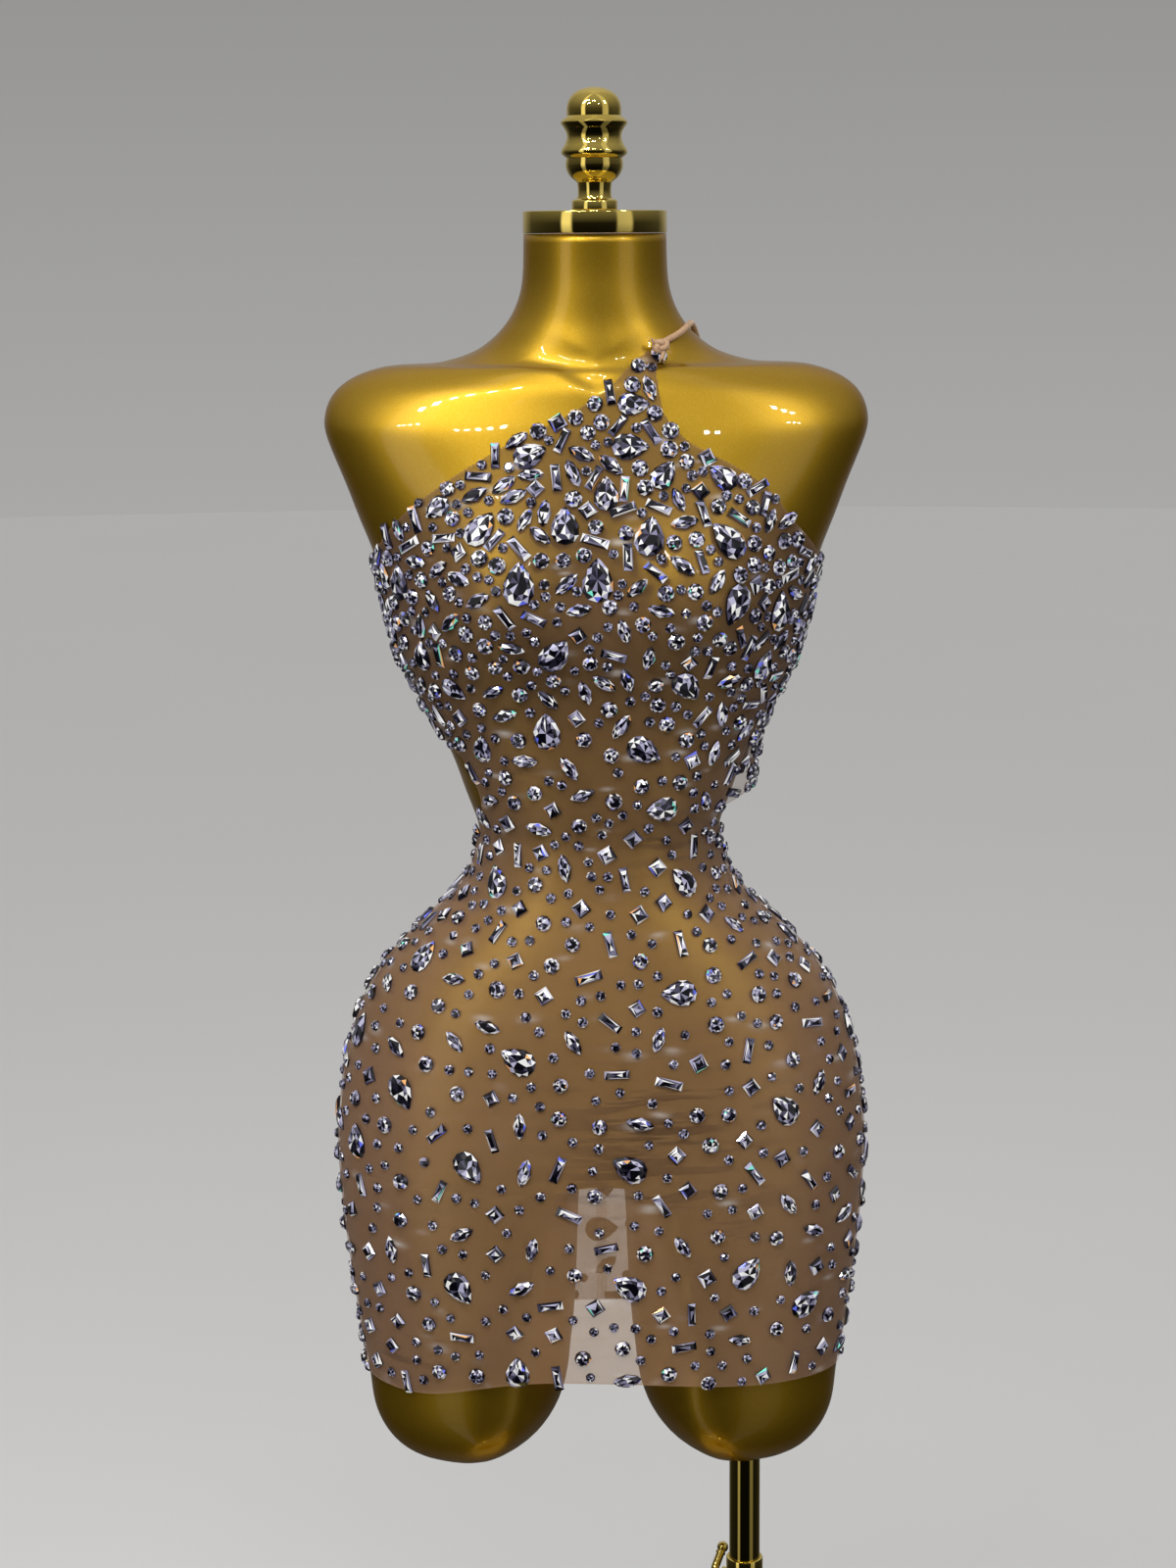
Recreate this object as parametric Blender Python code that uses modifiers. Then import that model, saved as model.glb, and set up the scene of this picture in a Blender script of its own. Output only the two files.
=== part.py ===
"""Mini dress of sheer stretch mesh with set crystals, on a limbless dress form that stands on a pole.

Metres, +Z up, front towards -Y, +X the wearer's left. The origin is the centre of the base plate's
underside, below the form's own axis. The tables give sizes in millimetres, and MM turns them to metres.
"""

import math
from collections import namedtuple

import bmesh
import bpy
import numpy as np
from mathutils import Matrix, Vector
from mathutils.bvhtree import BVHTree

MM = 0.001
GAP = 0.3
SIDE_ANGLE = 90.0
BACK_ANGLE = 180.0

# Dress form: horizontal sections from the neck down to the thighs
Section = namedtuple("Section", "height half_width front back power")
FORM_SECTIONS = (
    Section(1447.7, 48.0, 46.0, 46.0, 2.0),
    Section(1425.0, 48.6, 46.5, 47.5, 2.0),
    Section(1408.0, 51.0, 48.0, 51.0, 2.0),
    Section(1391.0, 58.5, 50.0, 57.0, 2.0),
    Section(1377.6, 70.8, 53.0, 62.0, 1.95),
    Section(1369.3, 83.5, 55.0, 65.0, 1.85),
    Section(1363.7, 101.4, 57.0, 67.0, 1.7),
    Section(1360.2, 123.3, 59.0, 69.0, 1.6),
    Section(1357.5, 148.0, 61.0, 70.0, 1.55),
    Section(1352.5, 165.0, 63.0, 72.0, 1.65),
    Section(1345.5, 175.5, 66.0, 75.0, 1.85),
    Section(1336.0, 181.8, 69.0, 79.0, 2.05),
    Section(1325.0, 184.3, 72.5, 82.0, 2.2),
    Section(1312.0, 182.5, 76.0, 85.0, 2.3),
    Section(1288.0, 172.8, 81.0, 88.0, 2.4),
    Section(1258.0, 161.5, 86.0, 90.0, 2.4),
    Section(1230.0, 151.0, 89.0, 91.0, 2.4),
    Section(1200.0, 145.0, 91.0, 91.0, 2.35),
    Section(1165.0, 136.0, 92.0, 88.0, 2.3),
    Section(1132.0, 119.5, 91.0, 86.0, 2.25),
    Section(1100.0, 103.0, 90.0, 84.5, 2.2),
    Section(1070.0, 92.0, 87.0, 82.0, 2.2),
    Section(1039.0, 83.2, 82.0, 79.0, 2.1),
    Section(1015.0, 88.0, 84.0, 83.0, 2.1),
    Section(985.0, 112.0, 90.5, 93.0, 2.15),
    Section(952.0, 146.0, 97.0, 105.0, 2.2),
    Section(914.0, 168.0, 103.0, 119.0, 2.3),
    Section(868.0, 180.5, 106.0, 130.0, 2.3),
    Section(818.0, 184.8, 105.5, 132.0, 2.3),
    Section(768.0, 182.0, 103.0, 124.0, 2.3),
    Section(716.0, 176.0, 98.0, 111.0, 2.3),
    Section(640.0, 166.0, 90.0, 94.0, 2.3),
)
FORM_ROW_STEP = 26.0
HALF_COLUMNS = 20
# Bust of a general figure, as two soft swellings of the front
BUST_RISE = 26.0
BUST_ACROSS = 66.0
BUST_HEIGHT = 1205.0
BUST_SPREAD_OUT = 46.0
BUST_SPREAD_IN = 36.0
BUST_SPREAD_UP = 58.0
BUST_SPREAD_DOWN = 44.0
BUST_FADE = 2.0
# How full the front is between the swellings, on the form and under the stretched cloth
FORM_VALLEY = 0.3
CLOTH_VALLEY = 0.75
LENGTH_SAMPLES = 181
NORMAL_TURN = 1.0
NORMAL_RISE = 2.0
# Thigh stumps: the inner side's distance from the middle, and how wide the inner side rounds over
Thigh = namedtuple("Thigh", "height inner rounding lift")
CROTCH_HEIGHT = 810.5
THIGH_ROWS = (
    Thigh(CROTCH_HEIGHT, 0.0, 0.0, 0.0),
    Thigh(808.0, 7.5, 10.0, 0.0),
    Thigh(803.0, 12.5, 18.0, 0.0),
    Thigh(793.0, 15.0, 28.0, 0.0),
    Thigh(774.0, 16.5, 40.0, 0.0),
    Thigh(750.0, 17.5, 52.0, 0.0),
    Thigh(722.0, 18.5, 62.0, 0.0),
    Thigh(692.0, 20.0, 68.0, 5.0),
    Thigh(666.0, 21.5, 72.0, 13.0),
    Thigh(645.0, 23.0, 72.0, 23.0),
)
INNER_COLUMNS = 5
INNER_TURN = 0.8
STUMP_BOTTOM = 583.0
STUMP_CENTRE = 107.0
STUMP_RINGS = 5
STUMP_FULLNESS = 0.8
MIRROR_MERGE = 0.00005
SHARP_ANGLE = 40.0

# Cloth: a wall around the form, clear of it
CLOTH_OFF = 1.5
CLOTH_WALL = 1.4
BODICE_CELL = 16.0
SKIRT_CELL = 24.0
FINE_START = 1000.0
SEAM = None
HEM = 665.0
SKIRT_TOP = 1041.0
BODICE_TOP = 1228.0
SKIRT_ROWS = 16
BODICE_ROW_STEP = 19.0
# Front panel's edges as angles from the front, SEAM where the edge is the side seam
Edge = namedtuple("Edge", "height right left")
CUT_EDGES = (
    Edge(1043.5, -82.0, 82.0),
    Edge(1046.5, -75.0, 75.5),
    Edge(1050.0, -69.5, 70.0),
    Edge(1056.0, -64.0, 64.0),
    Edge(1064.0, -60.0, 66.0),
    Edge(1067.0, -59.0, 72.0),
    Edge(1070.0, -58.0, 78.0),
    Edge(1072.5, -57.5, 84.0),
    Edge(1075.0, -57.5, SEAM),
    Edge(1082.0, -58.0, SEAM),
    Edge(1090.0, -59.5, SEAM),
    Edge(1098.0, -61.5, SEAM),
    Edge(1103.0, -65.0, SEAM),
    Edge(1106.0, -70.0, SEAM),
    Edge(1108.5, -76.0, SEAM),
    Edge(1112.0, SEAM, SEAM),
)
NECK_EDGES = (
    Edge(1231.0, -84.0, 83.5),
    Edge(1235.0, -77.5, 76.5),
    Edge(1240.0, -71.0, 69.0),
    Edge(1246.0, -65.0, 62.5),
    Edge(1253.0, -58.5, 55.5),
    Edge(1267.0, -47.0, 45.5),
    Edge(1281.0, -36.0, 38.0),
    Edge(1294.0, -27.0, 29.0),
    Edge(1303.0, -21.0, 22.5),
    Edge(1311.0, -16.5, 17.5),
    Edge(1319.0, -11.5, 14.5),
    Edge(1328.0, -6.5, 13.0),
    Edge(1337.0, -2.6, 13.4),
    Edge(1347.0, 3.2, 15.8),
    Edge(1358.0, 11.4, 21.5),
    Edge(1370.0, 24.5, 33.5),
)
# Hem line: how far it lies above or below HEM at an angle from the front
HemPoint = namedtuple("HemPoint", "angle rise")
HEM_LINE = (
    HemPoint(-180.0, -5.0),
    HemPoint(-90.0, -11.0),
    HemPoint(-50.0, -12.0),
    HemPoint(-8.0, 5.0),
    HemPoint(40.0, -4.0),
    HemPoint(90.0, -7.0),
    HemPoint(180.0, -5.0),
)
HEM_REACH = 70.0
BACK_DIP = 26.0
BACK_DIP_REACH = 60.0
# The left wing's lower corner stands off the form
FLARE_RISE = 13.0
FLARE_ANGLE = 95.0
FLARE_SPREAD_ANGLE = 22.0
FLARE_HEIGHT = 1070.0
FLARE_SPREAD_UP = 36.0
FLARE_START = (1057.0, 1068.0)
# Back bands: lower and upper edge at the centre back
BAND_BACK_LOW = 1135.0
BAND_BACK_TOP = 1195.0
BAND_MIDDLE = 1165.0
BAND_LOW_RIGHT = 1112.0
BAND_LOW_LEFT = 1075.0

# Large crystals, raised in the wall: angle from the front, height, and turn of the tip from straight up
Crystal = namedtuple("Crystal", "angle height turn size")
FRONT_CRYSTALS = (
    Crystal(7.5, 1337, 90, 0.75),
    Crystal(5, 1310, 90, 0.85),
    Crystal(-11, 1305, 65, 0.8),
    Crystal(11, 1292, 35, 0.75),
    Crystal(24, 1290, -50, 0.75),
    Crystal(1, 1280, 0, 0.8),
    Crystal(-35, 1271, -130, 0.68),
    Crystal(-24, 1258, 35, 0.9),
    Crystal(-5, 1260, 0, 0.9),
    Crystal(9, 1253, 8, 0.95),
    Crystal(28, 1250, -40, 1.0),
    Crystal(-59, 1220, 0, 0.85),
    Crystal(-16, 1224, 0, 1.0),
    Crystal(0, 1226, 0, 1.0),
    Crystal(34, 1208, -150, 1.0),
    Crystal(53, 1200, 0, 0.95),
    Crystal(-55, 1172, 10, 0.75),
    Crystal(-9, 1178, 35, 0.9),
    Crystal(51, 1164, 20, 0.8),
    Crystal(-45, 1150, 130, 0.7),
    Crystal(23, 1154, 140, 0.85),
    Crystal(78, 1122, 20, 0.7),
    Crystal(-15, 1124, 0, 0.9),
    Crystal(-44, 1110, 10, 0.7),
    Crystal(14, 1110, 120, 0.85),
    Crystal(24, 1070, -90, 0.82),
    Crystal(-50, 1014, -30, 0.85),
    Crystal(38, 1016, -40, 0.82),
    Crystal(82, 968, -20, 0.75),
    Crystal(-60, 962, 15, 0.85),
    Crystal(18, 946, -90, 0.85),
    Crystal(-74, 906, 0, 0.85),
    Crystal(82, 902, 0, 0.75),
    Crystal(-16, 902, -60, 0.88),
    Crystal(-46, 874, 150, 0.88),
    Crystal(40, 862, -45, 0.88),
    Crystal(-64, 832, 0, 0.88),
    Crystal(-26, 826, 140, 0.88),
    Crystal(4, 828, -60, 0.88),
    Crystal(30, 748, 35, 0.88),
    Crystal(-30, 738, 145, 0.88),
    Crystal(4, 742, -60, 0.85),
    Crystal(50, 718, 55, 0.85),
    Crystal(-17, 678, 0, 0.82),
)
# On the back they follow an even staggered layout
BACK_CRYSTAL_HEIGHTS = (712.0, 785.0, 858.0, 931.0)
BACK_CRYSTAL_FIRST = 104.0
BACK_CRYSTAL_STEP = 38.0
BAND_CRYSTAL_ANGLES = (104.0, 130.0, 157.0)
BACK_SIZE = 0.86
TURN_STEP = 137.0
PEAR_LENGTH = 29.0
PEAR_WIDTH = 20.5
PEAR_SIDES = (0.0, 60.0, 115.0, 180.0, 245.0, 300.0)
PEAR_FULLNESS = 0.62
PEAR_TAPER = 0.7
PEAR_RISE = 3.6
PEAR_TABLE = 0.6
PEAR_SINK = 0.8

# Strap of round cord over the left side of the neck
STRAP_RADIUS = 1.8
STRAP_OFF = 1.8
FRONT, BACK = -1, 1
RoutePoint = namedtuple("RoutePoint", "across height side")
STRAP_ROUTE = (
    RoutePoint(41.6, 1374.7, FRONT),
    RoutePoint(53.0, 1380.0, FRONT),
    RoutePoint(59.3, 1384.4, FRONT),
    RoutePoint(62.5, 1384.8, BACK),
    RoutePoint(66.5, 1376.5, BACK),
    RoutePoint(72.0, 1362.0, BACK),
    RoutePoint(77.0, 1345.0, BACK),
    RoutePoint(81.0, 1318.0, BACK),
    RoutePoint(85.0, 1285.0, BACK),
    RoutePoint(88.0, 1250.0, BACK),
    RoutePoint(90.0, 1214.0, BACK),
)
STRAP_STEP = 12.0
CORD_SIDES_SETTING = 2
KNOT_HALF = (6.6, 4.2, 4.8)
KNOT_OFF = 3.6
KNOT_ACROSS = 40.0
KNOT_HEIGHT = 1371.8
KNOT_LEAN = 35.0

# Neck ring and finial, turned
RING_RADIUS = 48.5
RING_BOTTOM = 1448.0
RING_TOP = 1462.8
RING_EDGE = 0.8
ROUND_STEPS = 36
FINIAL_STEPS = 20
# Dome, two sharp rings, bulb, stem and foot, from the top down
Turn = namedtuple("Turn", "radius height")
FINIAL_PROFILE = (
    Turn(0.0, 1544.0),
    Turn(6.9, 1542.9),
    Turn(12.9, 1539.8),
    Turn(17.0, 1535.1),
    Turn(18.4, 1529.5),
    Turn(18.2, 1524.5),
    Turn(22.4, 1521.5),
    Turn(22.2, 1519.5),
    Turn(18.4, 1513.5),
    Turn(18.6, 1508.5),
    Turn(22.2, 1502.5),
    Turn(22.0, 1500.0),
    Turn(18.8, 1497.0),
    Turn(19.4, 1493.0),
    Turn(18.5, 1488.6),
    Turn(15.8, 1484.6),
    Turn(11.7, 1481.4),
    Turn(11.3, 1471.2),
    Turn(14.2, 1470.2),
    Turn(15.4, 1468.6),
    Turn(15.4, 1463.9),
    Turn(14.8, RING_TOP + GAP),
    Turn(0.0, RING_TOP + GAP),
)

# Stand
POLE_ACROSS = 102.0
MAST_RADIUS = 11.0
MAST_TOP = 700.0
MAST_BOTTOM = 205.0
MAST_EDGE = 1.0
BORE_RADIUS = MAST_RADIUS + GAP
SOCKET_TOP = MAST_TOP + GAP
SOCKET_BELOW = 30.0
TUBE_RADIUS = 12.7
TUBE_TOP = 500.0
TUBE_EDGE = 0.4
FOOT_BOTTOM = 8.3
FOOT_RADIUS = 32.0
FOOT_HEIGHT = 7.0
FOOT_EDGE = 1.5
FOOT_FILLET = 3.0
BASE_RADIUS = 190.0
BASE_HEIGHT = 8.0
BASE_EDGE = 2.5
BASE_ROUND = 0.7
BASE_UNDER_EDGE = 1.0
POLE_STEPS = 24
TURN_MERGE = 0.00001
# Clamp screw with its nut, at the top of the outer tube
SCREW_HEIGHT = 478.0
SCREW_TURN = 140.0
SCREW_RADIUS = 3.0
HOLE_START = 6.0
HOLE_END = 40.0
ROD_SIDES = 16
NUT_RADIUS = 8.0
NUT_START = 12.1
NUT_REACH = 20.0
NUT_SIDES = 6
LEVER_AT = 28.8
LEVER_LENGTH = 20.0
LEVER_LEAN = 36.0
BEND_RADIUS = 5.0
BEND_STEPS = 5
BALL_RADIUS = 4.1
BALL_DETAIL = 2


def clear_scene():
    for obj in list(bpy.data.objects):
        bpy.data.objects.remove(obj)


def new_collection(name, hidden=False):
    collection = bpy.data.collections.new(name)
    bpy.context.scene.collection.children.link(collection)
    collection.hide_render = hidden
    return collection


def new_material(name, colour, roughness, metallic):
    material = bpy.data.materials.new(name)
    material.use_nodes = True
    shader = material.node_tree.nodes["Principled BSDF"]
    shader.inputs["Base Color"].default_value = (*colour, 1.0)
    shader.inputs["Roughness"].default_value = roughness
    shader.inputs["Metallic"].default_value = metallic
    return material


def new_object(name, mesh, collection, material=None):
    obj = bpy.data.objects.new(name, mesh)
    collection.objects.link(obj)
    if material:
        mesh.materials.append(material)
    return obj


def new_cutter(name, mesh):
    obj = new_object(name, mesh, CUTTERS)
    obj.hide_render = True
    obj.display_type = "WIRE"
    return obj


def mesh_from(name, points, faces):
    mesh = bpy.data.meshes.new(name)
    mesh.from_pydata([tuple(p) for p in points], [], faces)
    mesh.update()
    return mesh


def mesh_from_bmesh(name, bm):
    mesh = bpy.data.meshes.new(name)
    bm.to_mesh(mesh)
    bm.free()
    return mesh


def add_boolean(obj, other, operation):
    modifier = obj.modifiers.new(f"{operation.lower()}_{other.name}", "BOOLEAN")
    modifier.operation = operation
    modifier.object = other
    modifier.solver = "EXACT"


def smooth_curve(places, values):
    """A curve through the given values that never overshoots them (a monotone cubic)."""
    x, y = np.array(places, float), np.array(values, float)
    order = np.argsort(x)
    x, y = x[order], y[order]
    step = np.diff(x)
    slope = np.diff(y) / step
    tangent = np.concatenate([slope[:1], np.zeros(len(x) - 2), slope[-1:]])
    for i in range(1, len(x) - 1):
        if slope[i - 1] * slope[i] > 0:
            near, far = 2 * step[i] + step[i - 1], step[i] + 2 * step[i - 1]
            tangent[i] = (near + far) / (near / slope[i - 1] + far / slope[i])

    def at(place):
        place = np.clip(place, x[0], x[-1])
        i = np.clip(np.searchsorted(x, place) - 1, 0, len(x) - 2)
        t = (place - x[i]) / step[i]
        start = (2 * t**3 - 3 * t**2 + 1) * y[i] + (t**3 - 2 * t**2 + t) * step[i] * tangent[i]
        end = (3 * t**2 - 2 * t**3) * y[i + 1] + (t**3 - t**2) * step[i] * tangent[i + 1]
        return start + end

    return at


HEIGHTS = [s.height for s in FORM_SECTIONS]
HALF_WIDTH = smooth_curve(HEIGHTS, [s.half_width for s in FORM_SECTIONS])
FRONT_DEPTH = smooth_curve(HEIGHTS, [s.front for s in FORM_SECTIONS])
BACK_DEPTH = smooth_curve(HEIGHTS, [s.back for s in FORM_SECTIONS])
POWER = smooth_curve(HEIGHTS, [s.power for s in FORM_SECTIONS])
HEM_RISE = smooth_curve([p.angle for p in HEM_LINE], [p.rise for p in HEM_LINE])


def ease(start, end, value):
    t = np.clip((value - start) / (end - start), 0.0, 1.0)
    return t * t * (3 - 2 * t)


def bust(x, z, valley):
    """How far the front swells out at a place across and a height."""
    away = np.abs(x) - BUST_ACROSS
    outer = np.exp(-((away / BUST_SPREAD_OUT) ** 2))
    inner = valley + (1 - valley) * np.exp(-((away / BUST_SPREAD_IN) ** 2))
    spread = np.where(z > BUST_HEIGHT, BUST_SPREAD_UP, BUST_SPREAD_DOWN)
    tall = np.exp(-(((z - BUST_HEIGHT) / spread) ** 2))
    return BUST_RISE * tall * np.where(away > 0, outer, inner)


def skin(angle, z, valley=FORM_VALLEY):
    """Millimetre points of the form's skin. Angle 0 is the front, and positive angles go to +X."""
    angle, z = np.broadcast_arrays(np.asarray(angle, float), np.asarray(z, float))
    sine, cosine = np.sin(np.radians(angle)), np.cos(np.radians(angle))
    curve = 2 / POWER(z)
    x = HALF_WIDTH(z) * np.sign(sine) * np.abs(sine) ** curve
    depth = np.where(cosine > 0, FRONT_DEPTH(z), BACK_DEPTH(z))
    y = -depth * np.sign(cosine) * np.abs(cosine) ** curve
    y = y - bust(x, z, valley) * np.clip(BUST_FADE * cosine, 0, 1)
    return np.stack([x, y, z], axis=-1)


def skin_normal(angle, z, valley=FORM_VALLEY):
    """Unit directions that point out of the skin."""
    across = skin(angle + NORMAL_TURN, z, valley) - skin(angle - NORMAL_TURN, z, valley)
    up = skin(angle, z + NORMAL_RISE, valley) - skin(angle, z - NORMAL_RISE, valley)
    normal = np.cross(across, up)
    return normal / np.linalg.norm(normal, axis=-1, keepdims=True)


def angle_at(across, z):
    """The skin's angle on the front at a place across."""
    share = np.clip(abs(across) / HALF_WIDTH(z), 0, 1)
    return math.copysign(math.degrees(math.asin(share ** (POWER(z) / 2))), across)


def even_angles(start, end, count, z, valley):
    """Angles that divide the skin between two angles into equal lengths."""
    fine = np.linspace(start, end, LENGTH_SAMPLES)
    points = skin(fine, z, valley)
    length = np.concatenate([[0.0], np.cumsum(np.linalg.norm(np.diff(points, axis=0), axis=1))])
    return np.interp(np.linspace(0, length[-1], count + 1), length, fine), length[-1]


def form_heights():
    """Row heights from the neck to just above the crotch."""
    rows = [HEIGHTS[0]]
    for above, below in zip(HEIGHTS, HEIGHTS[1:]):
        if below < CROTCH_HEIGHT:
            break
        count = max(1, math.ceil((above - below) / FORM_ROW_STEP))
        rows += [above + (below - above) * (i + 1) / count for i in range(count)]
    return rows + [0.5 * (rows[-1] + CROTCH_HEIGHT)]


def thigh_ring(row):
    """One closed ring of a thigh: outer columns from the front to the back, then the inner side."""
    z, turn = row.height, 1 - math.sqrt(1 - INNER_TURN**2)
    start = row.inner + turn * row.rounding
    first = angle_at(start, z)
    angles, _ = even_angles(first, BACK_ANGLE - first, HALF_COLUMNS, z, FORM_VALLEY)
    ring = skin(angles, z)
    if row.rounding:
        share = np.clip((ring[:, 0] - row.inner) / row.rounding, 0, 1)
        ring[:, 1] *= np.sqrt(1 - (1 - share) ** 2)
    else:
        ring[[0, -1], 1] *= INNER_TURN
    back, front = ring[-1, 1], ring[0, 1]
    inner = []
    for i in range(1, INNER_COLUMNS):
        y = back + (front - back) * i / INNER_COLUMNS
        reach = INNER_TURN * y / (back if y > 0 else front)
        inner.append((row.inner + row.rounding * (1 - math.sqrt(1 - reach**2)), y, z))
    ring = np.vstack([ring, inner])
    outer_share = np.clip((ring[:, 0] - row.inner) / (HALF_WIDTH(z) - row.inner), 0, 1)
    ring[:, 2] += row.lift * (1 - outer_share)
    return ring


def stump_rings(last):
    """Rings that close a thigh stump below its last straight ring."""
    centre = np.array([STUMP_CENTRE, 0.0])
    rings = []
    for i in range(1, STUMP_RINGS):
        turn = 0.5 * math.pi * i / STUMP_RINGS
        ring = last.copy()
        ring[:, :2] = centre + (last[:, :2] - centre) * math.cos(turn) ** STUMP_FULLNESS
        ring[:, 2] = last[:, 2] + (STUMP_BOTTOM - last[:, 2]) * math.sin(turn)
        rings.append(ring)
    return rings, np.array([STUMP_CENTRE, 0.0, STUMP_BOTTOM])


def build_form():
    """Half of the form, open at the middle, mirrored, with the socket for the mast."""
    points, faces = [], []
    columns = HALF_COLUMNS + 1
    for z in form_heights():
        angles, _ = even_angles(0, BACK_ANGLE, HALF_COLUMNS, z, FORM_VALLEY)
        points += list(skin(angles, z))
    rows = len(points) // columns
    for r in range(rows - 1):
        for c in range(HALF_COLUMNS):
            a, b = r * columns + c, (r + 1) * columns + c
            faces.append((a, b, b + 1, a + 1))
    faces.append(tuple(range(columns)))
    thighs = [thigh_ring(row) for row in THIGH_ROWS]
    closing, tip = stump_rings(thighs[-1])
    ring_size = len(thighs[0])
    first = len(points)
    for c in range(HALF_COLUMNS):
        a, b = (rows - 1) * columns + c, first + c
        faces.append((a, b, b + 1, a + 1))
    for ring in thighs + closing:
        points += list(ring)
    for r in range(len(thighs) + len(closing) - 1):
        for c in range(ring_size):
            a, b = first + r * ring_size, first + (r + 1) * ring_size
            after = (c + 1) % ring_size
            faces.append((a + c, b + c, b + after, a + after))
    last = first + (len(thighs) + len(closing) - 1) * ring_size
    points.append(tip)
    for c in range(ring_size):
        faces.append((last + c, len(points) - 1, last + (c + 1) % ring_size))
    points = np.array(points)
    points[np.abs(points[:, 0]) < MIRROR_MERGE, 0] = 0.0
    form = new_object("form", mesh_from("form", points * MM, faces), PARTS, GOLD_PAINT)
    mirror = form.modifiers.new("other_half", "MIRROR")
    mirror.use_axis[0] = True
    mirror.use_clip = True
    mirror.merge_threshold = MIRROR_MERGE
    top = Vector((POLE_ACROSS, 0, SOCKET_TOP))
    bottom = Vector((POLE_ACROSS, 0, STUMP_BOTTOM - SOCKET_BELOW))
    add_boolean(form, rod("mast_socket", BORE_RADIUS, bottom, top, POLE_STEPS), "DIFFERENCE")
    form.data.shade_smooth()
    form.data.set_sharp_from_angle(angle=math.radians(SHARP_ANGLE))


def flare(angle, z):
    """How far the left wing's lower corner stands off."""
    round_it = np.exp(-(((angle - FLARE_ANGLE) / FLARE_SPREAD_ANGLE) ** 2))
    up = np.exp(-(((z - FLARE_HEIGHT) / FLARE_SPREAD_UP) ** 2))
    return FLARE_RISE * round_it * up * ease(*FLARE_START, z)


def cloth_points(angles, z, seam_ends):
    """Inner points of the cloth at the angles and heights, its ends moved off the seams by half a gap."""
    angles, z = np.broadcast_arrays(np.asarray(angles, float), np.asarray(z, float))
    points = skin(angles, z, CLOTH_VALLEY)
    normals = skin_normal(angles, z, CLOTH_VALLEY)
    points = points + normals * (CLOTH_OFF + flare(angles, z))[:, None]
    for end, side in zip((0, -1), seam_ends):
        if side:
            points[end, 1] = side * 0.5 * GAP
    return points


def hem_drop(angles, z):
    """Height change that gives the skirt its hem line."""
    return HEM_RISE(angles) * (1 - ease(HEM, HEM + HEM_REACH, z))


def skirt_heights():
    return list(np.linspace(HEM, SKIRT_TOP, SKIRT_ROWS + 1))


def bodice_heights(low):
    """Row heights of the bodice from a height to the top of the side seams."""
    count = math.ceil((BODICE_TOP - low) / BODICE_ROW_STEP)
    return list(np.linspace(low, BODICE_TOP, count + 1))


def front_rows():
    """Rows of the front panel, each with its height and its two end angles."""
    rows = [Edge(z, SEAM, SEAM) for z in skirt_heights()] + list(CUT_EDGES)
    rows += [Edge(z, SEAM, SEAM) for z in bodice_heights(CUT_EDGES[-1].height)[1:]]
    return rows + list(NECK_EDGES)


def cells(start, end, z):
    """How many cells a row of cloth has between two angles."""
    _, length = even_angles(start, end, 4, z, CLOTH_VALLEY)
    return max(2, round(length / (SKIRT_CELL if z < FINE_START else BODICE_CELL)))


def zip_rows(low, high, points, faces):
    """Triangles between two rows of point numbers, always across the shorter diagonal."""

    def reach(a, b):
        return float(np.linalg.norm(points[a] - points[b]))

    i = j = 0
    while i < len(low) - 1 or j < len(high) - 1:
        low_done, high_done = i == len(low) - 1, j == len(high) - 1
        if high_done or not low_done and reach(low[i + 1], high[j]) <= reach(low[i], high[j + 1]):
            faces.append((low[i], low[i + 1], high[j]))
            i += 1
        else:
            faces.append((low[i], high[j + 1], high[j]))
            j += 1


def sheet_from_rows(rows):
    """Points and faces of a sheet from rows of millimetre points, lowest first."""
    points, faces, numbers = [], [], []
    for row in rows:
        numbers.append(list(range(len(points), len(points) + len(row))))
        points += list(row)
    for low, high in zip(numbers, numbers[1:]):
        zip_rows(low, high, points, faces)
    return np.array(points) * MM, faces


def cloth_piece(name, rows, crystals=()):
    """A cloth wall from its inner rows, with its large crystals raised in the outer side."""
    points, faces = sheet_from_rows(rows)
    piece = new_object(name, mesh_from(name, points, faces), PARTS, MESH_CLOTH)
    wall = piece.modifiers.new("wall", "SOLIDIFY")
    wall.thickness = CLOTH_WALL * MM
    wall.offset = 1.0
    wall.use_even_offset = True
    if crystals:
        tree = BVHTree.FromPolygons([Vector(p) for p in points], faces)
        add_boolean(piece, build_crystals(name + "_crystals", crystals, tree), "UNION")
    return piece


def pear_outline():
    """Outline of a pear-cut crystal, its tip first, towards +Y."""
    outline = []
    for degrees in PEAR_SIDES:
        turn = math.radians(degrees)
        across = PEAR_FULLNESS * PEAR_WIDTH * math.sin(turn) * abs(math.sin(turn / 2)) ** PEAR_TAPER
        outline.append((across, 0.5 * PEAR_LENGTH * math.cos(turn)))
    return outline


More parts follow.
